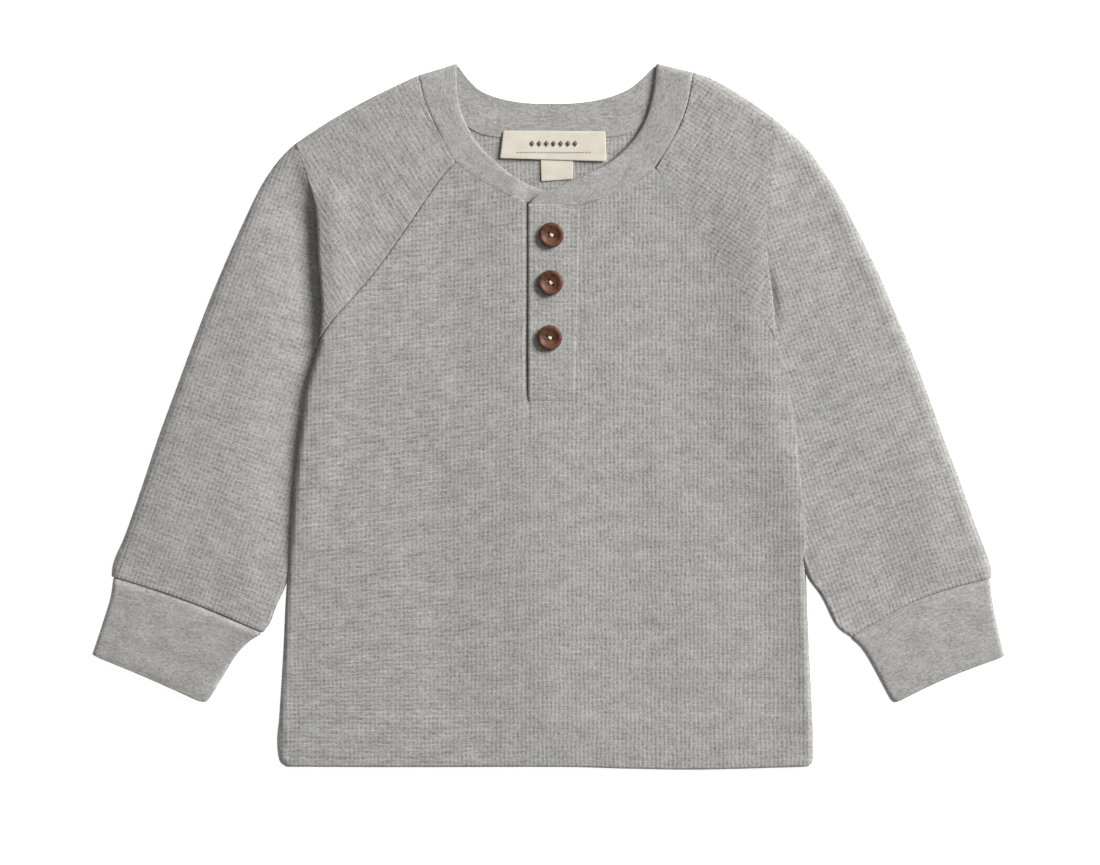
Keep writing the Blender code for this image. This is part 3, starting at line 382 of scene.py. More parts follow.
# How each kind of edge turns down: run in plan, drop, height it folds to, 1 where it folds to that height
SIDE_EDGE = (3.0, 0.0, SIDE_SEAM_HEIGHT, 1.0)
HEM_EDGE = (1.3, 1.5, 0.0, 0.0)
SEAM_EDGE = (0.8, 0.75, 0.0, 0.0)
RAGLAN_EDGE = (1.0, 1.1, 0.0, 0.0)
NECK_EDGE = (0.5, 0.5, 0.0, 0.0)
# Drop of the cloth's edge at the neck where the seam is faint and where it is deep, right and left
NECK_EDGE_DROPS = ((0.3, 0.5), (0.1, 0.85))
FRONT_NECK_EDGE = (0.5, 0.1, 0.0, 0.0)
FLUSH_EDGE = (0.25, 0.12, 0.0, 0.0)
TUCKED_EDGE = (0.4, 0.0, 0.0, 0.0)
SLEEVE_FOLD_EDGE = (5.5, 0.0, FOLD_HEIGHT, 1.0)
SLEEVE_INNER_EDGE = (1.4, 0.0, 2.6, 1.0)
CUFF_SEAM_EDGE = (0.9, 0.7, 0.0, 0.0)
UNDER_FOLD_EDGE = (3.0, 0.0, FOLD_HEIGHT, 1.0)
PLACKET_EDGE = (0.8, 0.8, 0.0, 0.0)
FOOT_EDGE = (0.8, 0.9, 0.0, 0.0)

# Colours as linear RGB
HEATHER_DARK = (0.172, 0.17, 0.16)
HEATHER_LIGHT = (0.51, 0.505, 0.481)
# Painted shade in the knit's pits: how much of the near-black pit colour is mixed into the yarn's colour, and
# that colour
PIT_PAINTED_SHADE = 0.26
PIT_SHADE_COLOUR = (0.04, 0.04, 0.038)
WOOD_TONES = ((0.045, 0.016, 0.008), (0.1, 0.036, 0.019), (0.17, 0.068, 0.036))
# Pitches of the fine relief of the jersey and the label
JERSEY_WALE = 0.9
JERSEY_COURSE = 0.7
LABEL_WARP = 0.35
LABEL_WEFT = 0.45

# Studio, in metres. Lights: name, place, size, power
LIGHTS = (
    ("key", (3.3, 2.05, 2.55), 2.1, 375.0),
    ("fill", (-0.3, 0.1, 2.6), 1.8, 4.0),
)
WORLD_LIGHT = 0.22
FLOOR_GLOW = 0.75
FLOOR_SIZE = 3.0
FLOOR_Z = -0.0002
CAMERA_PLACE = (0.001, -0.008, 2.0)
CAMERA_LENS = 130.6

# Curves and outlines: points to a row of a table, spacing of an outline's points, and the share of its run
# that an edge keeps clear of the other edges
CURVE_STEPS = 12
OUTLINE_SPACING = 0.8
CLEAR_SHARE = 0.85
# How often neighbours are averaged to blend one kind of edge into the next, and to spread the rim's points
EDGE_EASE = 4
RIM_EASE = 5
EDGE_ANGLES = np.radians((30.0, 60.0, 90.0))
# Turn of the knit in the sleeves, below and above the bend, and how the body's courses lean on its right
SLEEVE_TURN = math.radians(20.0)
SLEEVE_CAP_TURN = math.radians(58.0)
LEAN_START = -10.0
LEAN = 0.12
LEAN_FADES_BETWEEN = (-160.0, -70.0)
# How far above the hem or cuff seam the courses still follow it, and the rounds that solve for them
HEM_EASES_OVER = 30.0
EASE_ROUNDS = 12


# ---------------------------------------------------------------- curves and heights


def blend(start, end, share):
    return (1 - share) * start + share * end


def soft_step(value, start, end):
    t = np.clip((value - start) / (end - start), 0, 1)
    return t * t * (3 - 2 * t)


def smooth_through(table, steps=CURVE_STEPS):
    """A Catmull-Rom curve through the rows of a table, with this many points to each row."""
    rows = np.array(table, float)
    padded = np.vstack([2 * rows[0] - rows[1], rows, 2 * rows[-1] - rows[-2]])
    curve = []
    for before, start, end, after in zip(padded, padded[1:], padded[2:], padded[3:]):
        for t in np.linspace(0, 1, steps, endpoint=False):
            bend = (2 * before - 5 * start + 4 * end - after) * t**2
            swing = (3 * start - before - 3 * end + after) * t**3
            curve.append(0.5 * (2 * start + (end - before) * t + bend + swing))
    curve.append(rows[-1])
    return np.array(curve)


def steps_along(curve):
    """Lengths of the curve's steps in plan, which its first two columns give."""
    return np.linalg.norm(np.diff(curve[:, :2], axis=0), axis=1)


def at_fractions(curve, fractions):
    """The curve's rows at these fractions of its length in plan."""
    steps = steps_along(curve)
    reached = np.concatenate([[0], np.cumsum(steps)]) / steps.sum()
    return np.stack([np.interp(fractions, reached, column) for column in curve.T], axis=-1)


def even(curve, spacing=OUTLINE_SPACING):
    """The curve with its points about this far apart."""
    count = max(2, round(steps_along(curve).sum() / spacing) + 1)
    return at_fractions(curve, np.linspace(0, 1, count))


def stretch(table, first, last):
    """The smooth curve between two rows of a table."""
    return smooth_through(table)[first * CURVE_STEPS : last * CURVE_STEPS + 1]


def seam_depth(x, y):
    """How much of a groove the neckband's seam is, from 0 to 1."""
    right, left = BAND_SEAM_DEEP_ABOVE
    return np.where(x < 0, soft_step(y, *right), soft_step(y, *left))


def neck_line(table, first, last):
    """The neck seam between two rows of a table, tucked under the band where the seam is faint."""
    curve = stretch(table, first, last)
    seam = curve[:, :2]
    across = curve[:, 2:] - seam
    across /= np.linalg.norm(across, axis=1)[:, None]
    faint = 1 - soft_step(seam_depth(*seam.T), 0, NECK_TUCK_ENDS)
    return seam + NECK_TUCK * faint[:, None] * across


def folds_at(x, y):
    """How much the soft folds add to the cloth's height."""
    total = 0.0
    for width, height, *line in SOFT_FOLDS:
        distance = np.inf
        for (x0, y0), (x1, y1) in zip(line, line[1:]):
            run_x, run_y = x1 - x0, y1 - y0
            nearest = np.clip(((x - x0) * run_x + (y - y0) * run_y) / (run_x**2 + run_y**2), 0, 1)
            distance = np.minimum(distance, np.hypot(x - x0 - nearest * run_x, y - y0 - nearest * run_y))
        total = total + height * np.exp(-((distance / width) ** 2))
    return total


def crest_at(table, y):
    """A crest's x and depth at these heights along the shirt."""
    rows_y, rows_x, depths = np.array(table, float)[::-1].T
    return np.interp(y, rows_y, rows_x), np.interp(y, rows_y, depths)


def left_of_drop(distance, power=2):
    """The share of a drop that is left at this distance beyond its crest, where the cloth comes up again."""
    return np.exp(-((np.clip(distance, 0, None) / CREST_RECOVERY) ** power))


def crest_trough(table, toward, x, y):
    """How far the cloth drops beside a crest, from 0 to 1. The drop lies on the side that toward gives."""
    crest_x, depth = crest_at(table, y)
    distance = (x - crest_x) * toward
    return depth * soft_step(distance, *CREST_TURNS_OVER) * left_of_drop(distance)


def cloth_height(x, y):
    """Height of the shirt's upper face over a plan point, before it drops beside a crest."""
    stitches_y = HEM_Y + HEM_STITCH_ABOVE
    height = BODY_TOP + folds_at(x, y)
    height = height - HEM_DROP * (1 - soft_step(y, HEM_Y, HEM_Y + HEM_DROP_LENGTH))
    height = height + HEM_FOLD_RISE * (1 - soft_step(y, stitches_y - HEM_FOLD_FADE, stitches_y))
    beside_slit = np.exp(-(((x - PLACKET_LEFT) / SLIT_DIP_WIDTH) ** 2)) * (x < SLIT_EDGE)
    return height - beside_slit * np.interp(y, *zip(*SLIT_DIPS))


def front_height(x, y):
    height = cloth_height(x, y)
    trough = crest_trough(RIGHT_CREST, -1, x, y) + crest_trough(LEFT_CREST, 1, x, y)
    return height - trough * (height - VALLEY_TOP)


def under_placket_height(x, y):
    """Height of the front, which sinks in a trench under the placket."""
    trench = soft_step(x, *TRENCH_LEFT) * (1 - soft_step(x, *TRENCH_RIGHT)) * soft_step(y, *TRENCH_FOOT)
    return front_height(x, y) - PLACKET_TRENCH * trench


def placket_top(x, y):
    height = front_height(np.maximum(x, SLIT_EDGE), y)
    proud = PLACKET_PROUD - PLACKET_SINKS_RIGHT * soft_step(x, *PLACKET_SINKS_BETWEEN)
    return height + proud * soft_step(y, *PLACKET_FOOT_FADES_BETWEEN)


def lift(plan, height):
    """Plan points with their heights, as x, y, z."""
    return np.concatenate([plan, np.broadcast_to(height, plan.shape[:-1])[..., None]], axis=-1)


def bowed(start, end, fractions, bow):
    """Points from start to end that bow to one side, up the sleeve where bow is over 0."""
    run = np.asarray(end) - start
    sideways = np.array([-run[1], run[0]]) / np.linalg.norm(run)
    if sideways[1] < 0:
        sideways = -sideways
    straight = np.outer(1 - fractions, start) + np.outer(fractions, end)
    return straight + np.outer(bow * np.sin(math.pi * fractions), sideways)


# ---------------------------------------------------------------- knit grid


class Grain:
    """Where the knit's wales and courses lie: u across and v along the cloth, to x and y in plan.

    across is a unit vector along the courses. ease(u, v) is how far a course is moved along the cloth.
    """

    def __init__(self, angle, ease=None):
        self.across = np.array([math.cos(angle), -math.sin(angle)])
        self.along = np.array([math.sin(angle), math.cos(angle)])
        self.ease = ease or (lambda u, v: 0 * u)

    def to_plan(self, u, v):
        along = v + self.ease(u, v)
        return np.outer(u, self.across) + np.outer(along, self.along)

    def to_grain(self, plan):
        u, along = plan @ self.across, plan @ self.along
        v = along.copy()
        for _ in range(EASE_ROUNDS):
            v = along - self.ease(u, v)
        return np.stack([u, v], axis=-1)


def body_grain():
    hem = smooth_through(HEM)

    def ease(u, v):
        lean = LEAN * np.minimum(u - LEAN_START, 0) * soft_step(v, *LEAN_FADES_BETWEEN)
        below = np.interp(u, hem[:, 0], hem[:, 1]) - HEM_Y
        return lean + below * (1 - soft_step(v, HEM_Y, HEM_Y + HEM_EASES_OVER))

    return Grain(0.0, ease)


def sleeve_grain(angle, seam):
    """The grain of a sleeve whose last course follows the cuff seam."""
    line = Grain(angle).to_grain(seam)
    line = line[np.argsort(line[:, 0])]
    level = line[:, 1].mean()

    def ease(u, v):
        bow = np.interp(u, line[:, 0], line[:, 1]) - level
        return bow * (1 - soft_step(v, level, level + HEM_EASES_OVER))

    return Grain(angle, ease)


class Outline:
    """A closed line in plan, anticlockwise, with how the cloth turns down along each stretch of it."""

    def __init__(self, stretches):
        rows = []
        for curve, edge in stretches:
            points = even(curve)[:-1]
            kinds = edge(points) if callable(edge) else np.tile(edge, (len(points), 1))
            rows.append(np.hstack([points, kinds]))
        self.rows = np.vstack(rows)
        self.corners = np.cumsum([0, *(len(stretch_rows) for stretch_rows in rows[:-1])])
        x, y = self.rows[:, 0], self.rows[:, 1]
        if (x * np.roll(y, -1) - y * np.roll(x, -1)).sum() < 0:
            self.rows = self.rows[::-1].copy()
            self.corners = len(self.rows) - 1 - self.corners
        self.ease_edges()
        ahead = np.roll(self.rows[:, :2], -2, axis=0) - np.roll(self.rows[:, :2], 2, axis=0)
        inward = np.stack([-ahead[:, 1], ahead[:, 0]], axis=-1)
        inward /= np.linalg.norm(inward, axis=1)[:, None]
        self.inner = self.rows[:, :2] + inward * self.rows[:, 2:3]
        self.clear_crossings()
        self.tree = kdtree.KDTree(len(self.inner))
        for i, (x, y) in enumerate(self.inner):
            self.tree.insert((x, y, 0), i)
        self.tree.balance()

    def ease_edges(self):
        """Blends one kind of edge into the next over a few points."""
        kinds = self.rows[:, 2:]
        for _ in range(EDGE_EASE):
            kinds = (np.roll(kinds, 1, axis=0) + 2 * kinds + np.roll(kinds, -1, axis=0)) / 4
        self.rows[:, 2:] = kinds

    def clear_crossings(self):
        """Puts inset points that lie in another stretch's turn on the line between clear neighbours."""
        gaps = np.linalg.norm(self.inner[:, None] - self.rows[None, :, :2], axis=2)
        clear = np.flatnonzero((gaps > CLEAR_SHARE * self.rows[:, 2]).all(axis=1))
        count = len(self.inner)
        places = np.concatenate([clear - count, clear, clear + count])
        for axis in (0, 1):
            self.inner[:, axis] = np.interp(np.arange(count), places, np.tile(self.inner[clear, axis], 3))

    def nearest(self, plan):
        """For each point, its place along the outline: a row's number and a share of the way to the next."""
        found = []
        count = len(self.inner)
        for x, y in plan:
            i = self.tree.find((x, y, 0))[1]
            choices = []
            for a, b in (((i - 1) % count, i), (i, (i + 1) % count)):
                start, run = self.inner[a], self.inner[b] - self.inner[a]
                t = np.clip(((x, y) - start) @ run / max(run @ run, 1e-9), 0, 1)
                choices.append((math.dist((x, y), start + t * run), (a + t) % count))
            found.append(min(choices, key=lambda choice: choice[0])[1])
        return np.array(found)

    def spread(self, plan):
        """The outline's rows that rim points turn down to, spread out round its corners."""
        count = len(self.rows)
        places = self.nearest(plan)
        order = np.argsort(places)
        along = places[order]
        for _ in range(RIM_EASE):
            before = np.append(along[-1] - count, along[:-1])
            after = np.append(along[1:], along[0] + count)
            along = (before + 2 * along + after) / 4
        for corner in self.corners:
            gap = (along - corner + count / 2) % count - count / 2
            closest = np.argmin(abs(gap))
            along[closest] -= gap[closest]
        places[order] = along % count
        low = np.floor(places).astype(int) % count
        share = (places - np.floor(places))[:, None]
        return blend(self.rows[low], self.rows[(low + 1) % count], share)

    def distance(self, x, y):
        return np.array([self.tree.find((*point, 0))[2] for point in zip(x, y)])

    def relief_fade(self, plan):
        """1 inside the patch and 0 at its rim, easing over less where the rim lies flush."""
        found = [self.tree.find((x, y, 0)) for x, y in plan]
        nearest = self.rows[[index for _, index, _ in found]]
        turns = np.clip(nearest[:, 3] / FULL_FADE_DROP + nearest[:, 5], 0, 1)
        reach = blend(FLUSH_FADE, RELIEF_FADE, turns)
        return soft_step(np.array([gap for _, _, gap in found]) / reach, FADE_STARTS, 1)


def crossings(polygon, level):
    """Where a closed line crosses a level, from left to right."""
    after = np.roll(polygon, -1, axis=0)
    low, high = polygon[:, 1] - level, after[:, 1] - level
    cut = (low < 0) != (high < 0)
    share = low[cut] / (low[cut] - high[cut])
    return np.sort(polygon[cut, 0] + share * (after[cut, 0] - polygon[cut, 0]))


def knit_region(polygon, levels, pick, first_ends=(None, None)):
    """Points and faces of the rows between two crossings of the outline, which pick chooses.

    first_ends says where the first row ends at its left and right, where that isn't at the outline.
    """
    points, faces, rows = [], [], []
    for level in levels:
        found = crossings(polygon, level)
        if level != levels[0]:
            found = pick(found)
        if len(found) < 2:
            continue
        left, right = found[0], found[-1]
        if level == levels[0]:
            left = left if first_ends[0] is None else first_ends[0]
            right = right if first_ends[1] is None else first_ends[1]
        if right - left < GRID_ACROSS:
            continue
        first = math.ceil(left / GRID_ACROSS + EDGE_MARGIN)
        last = math.floor(right / GRID_ACROSS - EDGE_MARGIN)
        columns = np.arange(first, last + 1) * GRID_ACROSS
        rows.append((len(points), first, last))
        points += [(left, level), *((u, level) for u in columns), (right, level)]
    for (low, low_first, low_last), (high, high_first, high_last) in zip(rows, rows[1:]):
        first, last = max(low_first, high_first), min(low_last, high_last)
        # The number of each row's point in column 0, if it reached there, and the one after its last point
        low_zero, high_zero = low + 1 - low_first, high + 1 - high_first
        low_end, high_end = low_zero + low_last + 2, high_zero + high_last + 2
        if first > last:
            faces += zipped(points, range(low, low_end), range(high, high_end))
            continue
        faces += zipped(points, range(low, low_zero + first + 1), range(high, high_zero + first + 1))
        faces += [
            (low_zero + k, low_zero + k + 1, high_zero + k + 1, high_zero + k) for k in range(first, last)
        ]
        faces += zipped(points, range(low_zero + last, low_end), range(high_zero + last, high_end))
    return np.array(points), faces


def zipped(points, lower, upper):
    """Triangles between two rows of points that both run to the right."""
    faces = []
    i = j = 0
    while i < len(lower) - 1 or j < len(upper) - 1:
        take_lower = j == len(upper) - 1 or (
            i < len(lower) - 1 and points[lower[i + 1]][0] <= points[upper[j + 1]][0]
        )
        if take_lower:
            faces.append((lower[i], lower[i + 1], upper[j]))
            i += 1
        else:
            faces.append((lower[i], upper[j + 1], upper[j]))
            j += 1
    return faces


def waffle(u, v, courses):
    """Height of the knit's face, from 1 on its ridges to 0 in its pits. courses weighs rows against ribs."""
    rib = 0.5 + 0.5 * np.cos(2 * math.pi * u / WALE)
    row = 0.5 + 0.5 * np.cos(2 * math.pi * v / COURSE)
    return 1 - (1 - courses) * (1 - rib) * (1 - BRIDGE * row) - courses * (1 - row) * (1 - BRIDGE * rib)


def patchy(x, y, size, seed):
    """Smooth seeded noise from -1 to 1 over a plane, in patches of this size."""
    cells = np.random.default_rng(seed).uniform(-1, 1, (NOISE_CELLS, NOISE_CELLS))
    column, row = x / size, y / size
    left, low = np.floor(column).astype(int), np.floor(row).astype(int)
    s, t = soft_step(column - left, 0, 1), soft_step(row - low, 0, 1)
    left, right = left % NOISE_CELLS, (left + 1) % NOISE_CELLS
    low, high = low % NOISE_CELLS, (low + 1) % NOISE_CELLS
    near = blend(cells[left, low], cells[right, low], s)
    far = blend(cells[left, high], cells[right, high], s)
    return blend(near, far, t)


def row_levels(bottom, top):
    """Levels of the rows, on whole steps of the grid apart from the first."""
    first = math.ceil(bottom / GRID_ALONG + ROW_MARGIN)
    return np.concatenate([[bottom], np.arange(first, math.floor(top / GRID_ALONG) + 1) * GRID_ALONG])


def link_mesh(name, mesh, material):
    """A smooth object of this mesh, linked to the scene. The mesh is used up."""
    data = bpy.data.meshes.new(name)
    mesh.to_mesh(data)
    mesh.free()
    data.shade_smooth()
    data.materials.append(material)
    obj = bpy.data.objects.new(name, data)
    bpy.context.scene.collection.objects.link(obj)
    return obj


class Cloth:
    """The mesh of one piece, made of clipped knit grids and the edges that turn down from them."""

    def __init__(self):
        self.mesh = bmesh.new()
        self.uv = self.mesh.loops.layers.uv.new("grain")
        self.courses = self.mesh.verts.layers.float.new("courses")

    def add_face(self, corners, places):
        try:
            face = self.mesh.faces.new(corners)
        except ValueError:
            return
        for loop, place in zip(face.loops, places):
            loop[self.uv].uv = place

    def add_sheet(self, outline, grain, regions, height, relief, courses, below=False, edges=True):
        """A patch over an outline. regions holds the arguments of knit_region.

        height is that of the face: a number, or a function of x and y. courses is how far the knit's rows
        outweigh its ribs: a number, or a function of x.
        """
        polygon = grain.to_grain(outline.inner)
        seen, points, faces = {}, [], []
        for region in regions:
            found, made = knit_region(polygon, *region)
            index = []
            for u, v in found:
                key = (round(u, 3), round(v, 3))
                if key not in seen:
                    seen[key] = len(points)
                    points.append((u, v))
                index.append(seen[key])
            faces += [tuple(index[i] for i in face) for face in made]
        points = np.array(points)
        u, v = points.T
        plan = grain.to_plan(u, v)
        fade = outline.relief_fade(plan)
        weight = courses(plan[:, 0]) if callable(courses) else np.full(len(plan), courses)
        depth = relief * fade
        for number, (size, amount) in enumerate(RELIEF_PATCHES):
            depth = depth * (1 + amount * patchy(u, v, size, RELIEF_SEED + number))
        pits = depth * (1 - waffle(u, v, weight))
        for number, (size, amount) in enumerate(YARN_WANDER):
            wander = [patchy(u, v, size, WANDER_SEED + 2 * number + axis) for axis in (0, 1)]
            plan = plan + amount * fade[:, None] * np.stack(wander, axis=-1)
        xyz = lift(plan, height(*plan.T) if callable(height) else height)
        xyz[:, 2] += pits if below else -pits
        places = points * MM
        verts = [self.mesh.verts.new(p * MM) for p in xyz]
        for vert, value in zip(verts, weight):
            vert[self.courses] = value
        for face in faces:
            order = face[::-1] if below else face
            self.add_face([verts[i] for i in order], [places[i] for i in order])
        if edges:
            self.turn_edges(outline, grain, verts, points, plan, -1 if below else 1)

    def turn_edges(self, outline, grain, verts, points, plan, up):
        """Rings of faces from the patch's rim to its outline. up is 1 if the patch looks up, or else -1."""
        number = {vert: i for i, vert in enumerate(verts)}
        rim_edges = [
            edge for edge in self.mesh.edges
            if len(edge.link_faces) == 1 and edge.verts[0] in number and edge.verts[1] in number
        ]
        rim = sorted({number[vert] for edge in rim_edges for vert in edge.verts})
        rows = outline.spread(plan[rim])
        outer_plan, drops, folds_to, folds = rows[:, :2], rows[:, 3], rows[:, 4], rows[:, 5]
        start = np.array([np.array(verts[i].co) for i in rim]) / MM
        end = lift(outer_plan, blend(start[:, 2] - up * drops, folds_to, folds))
        outer_uv = grain.to_grain(outer_plan)
        rings, ring_uv = [[verts[i] for i in rim]], [points[rim] * MM]
        for angle in EDGE_ANGLES:
            out, down = math.sin(angle), 1 - math.cos(angle)
            ring = start + (end - start) * (out, out, down)
            rings.append([self.mesh.verts.new(p * MM) for p in ring])
            ring_uv.append(blend(points[rim], outer_uv, out) * MM)
        last = np.array([np.array(vert.co) for vert in rings[-1]])
        last[:, 2] -= up * blend(SHELL_WALL, FOLDED_WALL, folds) * MM
        last[:, 2] = np.maximum(last[:, 2], WALL_FLOOR * MM)
        rings.append([self.mesh.verts.new(p) for p in last])
        ring_uv.append(ring_uv[-1] + MM)
        place = {i: k for k, i in enumerate(rim)}
        for edge in rim_edges:
            loop = edge.link_loops[0]
            a, b = place[number[loop.link_loop_next.vert]], place[number[loop.vert]]
            for ring, uv, next_ring, next_uv in zip(rings, ring_uv, rings[1:], ring_uv[1:]):
                corners = (ring[a], ring[b], next_ring[b], next_ring[a])
                self.add_face(corners, (uv[a], uv[b], next_uv[b], next_uv[a]))


# ---------------------------------------------------------------- body and sleeves


def whole(found):
    return found


def left_horn(found):
    return found[found < NECK_CENTRE]


def right_horn(found):
    return found[found > NECK_CENTRE]


def edge_rows(run, drop):
    """How the cloth turns down at points with these runs and drops, and no fold."""
    return np.stack([run + 0 * drop, drop, 0 * drop, 0 * drop], axis=-1)


def beside_sleeve(points, edge):
    """An edge that turns down in the open, and lies flush where the body and the left sleeve touch."""
    flush = soft_step(points[:, 1], *TOUCHING_BETWEEN)[:, None]
    return blend(np.array(edge), np.array(FLUSH_EDGE), flush)


def open_neck_edge(side, points):
    """How the cloth turns down at the neck seam, a groove near the shoulder that fades toward the front."""
    faint, deep = NECK_EDGE_DROPS[side]
    return edge_rows(NECK_EDGE[0], blend(faint, deep, seam_depth(*points.T)))


def bend_edge(side, points):
    """How the upper patch of a sleeve turns down along its bend."""
    depth = crest_at(BENDS[side], points[:, 1])[1]
    return edge_rows(*(flush + lip * depth for flush, lip in zip(BEND_FLUSH, BEND_LIPS[side])))


def body_outline(raglan_columns, neck):
    """A body panel's outline. neck holds its curves and their edges from the wearer's left to the right."""
    side = smooth_through(SIDES)
    return Outline([
        (smooth_through(HEM), HEM_EDGE),
        (side[:, [2, 0]], lambda points: beside_sleeve(points, SIDE_EDGE)),
        (smooth_through(RAGLAN_LEFT)[:, raglan_columns], FLUSH_EDGE),
        *neck,
        (smooth_through(RAGLAN_RIGHT)[::-1, raglan_columns], RAGLAN_EDGE),
        (side[::-1][:, [1, 0]], SIDE_EDGE),
    ])


def body_regions(polygon, split, top, right_end, left_end):
    """A body panel's rows up to the neck's lowest level, and the two horns beside the neck above it."""
    bottom = polygon[abs(polygon[:, 0]) < HEM_MIDDLE][:, 1].min() + RIM_GAP
    last = math.floor(split / GRID_ALONG - EDGE_MARGIN)
    rows = row_levels(bottom, last * GRID_ALONG)
    horns = np.concatenate([[split], np.arange(last + 1, top / GRID_ALONG) * GRID_ALONG])
    horns = horns[(horns == split) | (horns > split + EDGE_MARGIN * GRID_ALONG)]
    return [
        (np.append(rows, split), whole),
        (horns, left_horn, (None, math.floor(right_end / GRID_ACROSS) * GRID_ACROSS)),
        (horns, right_horn, (math.ceil(left_end / GRID_ACROSS) * GRID_ACROSS, None)),
    ]


def body_courses(x):
    return blend(*BODY_COURSES, soft_step(x, *BODY_COURSES_BETWEEN))


def make_front(material):
    neck_left = neck_line(NECK_FRONT_LEFT, LEFT_PLACKET_ROW, LEFT_RAGLAN_ROW)[::-1]
    neck_right = neck_line(NECK_FRONT_RIGHT, RIGHT_PLACKET_ROW, RIGHT_RAGLAN_ROW)
    under_placket = np.array([neck_left[-1], neck_right[0]])
    outline = body_outline((0, 1), (
        (neck_left, lambda points: open_neck_edge(1, points)),
        (under_placket, FRONT_NECK_EDGE),
        (neck_right, FRONT_NECK_EDGE),
    ))
    grain = body_grain()
    regions = body_regions(grain.to_grain(outline.inner), *FRONT_OPENING)
    cloth = Cloth()
    cloth.add_sheet(outline, grain, regions, under_placket_height, RELIEF, body_courses)
    return link_mesh("front_body", cloth.mesh, material)


def make_back(material):
    neck = stretch(NECK_BACK, BACK_RIGHT_ROW, BACK_LEFT_ROW)[::-1, :2]
    outline = body_outline((2, 3), ((neck, FRONT_NECK_EDGE),))
    grain = body_grain()
    regions = body_regions(grain.to_grain(outline.inner), *BACK_OPENING)
    cloth = Cloth()
    cloth.add_sheet(outline, grain, regions, 0.0, RELIEF, body_courses, below=True)
    inside = [(rows[rows > BACK_INSIDE_FROM], *rest) for rows, *rest in regions]
    cloth.add_sheet(outline, grain, inside, WAFFLE_CLOTH, RELIEF, body_courses, edges=False)
    return link_mesh("back_body", cloth.mesh, material)


def sleeve_lines(side, back):
    """A sleeve's inner edge from the cuff up to the underarm, raglan seam, neck, outer fold and cuff seam."""
    raglan, shoulder, lower, front_neck, raglan_row = (
        (RAGLAN_RIGHT, SHOULDER_RIGHT, LOWER_SLEEVE_RIGHT, NECK_FRONT_RIGHT, RIGHT_RAGLAN_ROW),
        (RAGLAN_LEFT, SHOULDER_LEFT, LOWER_SLEEVE_LEFT, NECK_FRONT_LEFT, LEFT_RAGLAN_ROW),
    )[side]
    if not back:
        neck = neck_line(front_neck, raglan_row, len(front_neck) - 1)
    elif side == 0:
        neck = stretch(NECK_BACK, 0, BACK_RIGHT_ROW)[::-1, :2]
    else:
        neck = stretch(NECK_BACK, BACK_LEFT_ROW, len(NECK_BACK) - 1)[:, :2]
    seam = [row[2:] if back else row[:2] for row in raglan]
    beside = [BELOW_UNDERARM[side]]
    for x, y, _, _ in lower:
        beside.append((x + TOWARD_BODY[side] * BESIDE_BODY * soft_step(y, *BESIDE_BODY_BETWEEN), y))
    inner = smooth_through(seam[::-1] + beside)[::-1]
    fold = smooth_through([*shoulder[::-1], *(row[2:] for row in lower)])
    underarm = len(beside) * CURVE_STEPS
    cuff_seam = bowed(fold[-1], inner[0], np.linspace(0, 1, CUFF_SEAM_POINTS), CUFF_SEAM_BOW[side])
    return inner[: underarm + 1], inner[underarm:], neck, fold, cuff_seam


def sleeve_patches(side):
    """Outlines of a sleeve's top: all of it, the part above the bend and the part below it."""
    inner, raglan, neck, fold, cuff_seam = sleeve_lines(side, False)
    bend = smooth_through([(x, y) for y, x, _ in BENDS[side] if y > UNDERARM_Y - 1])
    top = int(np.argmin(np.linalg.norm(fold - bend[0], axis=1)))
    bend[0] = fold[top]
    depth = crest_at(BENDS[side], bend[:, 1])[1]
    step = np.arange(len(bend))
    narrow = 1 - soft_step(step, len(bend) - 2 * CURVE_STEPS, len(bend) - 1)
    tuck = blend(UNDERARM_TUCK, BEND_TUCK[0] + BEND_TUCK[1] * depth, narrow)
    tuck = tuck + SHOULDER_TUCK * (1 - soft_step(step, 0, SHOULDER_TUCK_OVER))
    tucked = bend + np.stack([TOWARD_BODY[side] * tuck, 0 * depth], axis=-1)
    above = top - SHOULDER_TUCK_STEPS
    hidden = fold[above:].copy()
    hidden[:, 1] -= SHOULDER_HIDE * (1 - soft_step(np.arange(len(hidden)), 0, SHOULDER_TUCK_STEPS))
    tucked[0] = hidden[0]
    at_underarm = soft_step(inner[:, 1], UNDERARM_Y - UNDERARM_TUCK_OVER, UNDERARM_Y)
    lower_inner = inner + np.outer(at_underarm, (TOWARD_BODY[side] * UNDERARM_TUCK, 0))
    inner_edge = (SLEEVE_INNER_EDGE, lambda points: beside_sleeve(points, SLEEVE_INNER_EDGE))[side]
    seams = [
        (raglan, (RAGLAN_EDGE, FLUSH_EDGE)[side]),
        (neck, lambda points: open_neck_edge(side, points)),
    ]
    wrist = (cuff_seam, CUFF_SEAM_EDGE)
    everything = Outline([(inner, inner_edge), *seams, (fold, SLEEVE_FOLD_EDGE), wrist])
    upper = Outline([
        *seams, (fold[: top + 1], SLEEVE_FOLD_EDGE), (bend, lambda points: bend_edge(side, points)),
    ])
    lower = Outline([
        (lower_inner, inner_edge), (tucked[::-1], TUCKED_EDGE), (hidden, SLEEVE_FOLD_EDGE), wrist,
    ])
    return everything, upper, lower, cuff_seam


def bend_roll(x, y, bend_x):
    """How far the right sleeve's cloth rolls down across its bend."""
    roll_y, roll_drop = np.array(BEND_ROLL)[::-1].T
    drop = np.interp(y, roll_y, roll_drop) * soft_step(y, UNDERARM_Y, UNDERARM_Y + BEND_ROLL_ENDS_OVER)
    past = x - bend_x
    return drop * soft_step(past, *BEND_ROLLS_OVER) * left_of_drop(BEND_ROLLS_OVER[1] - past)


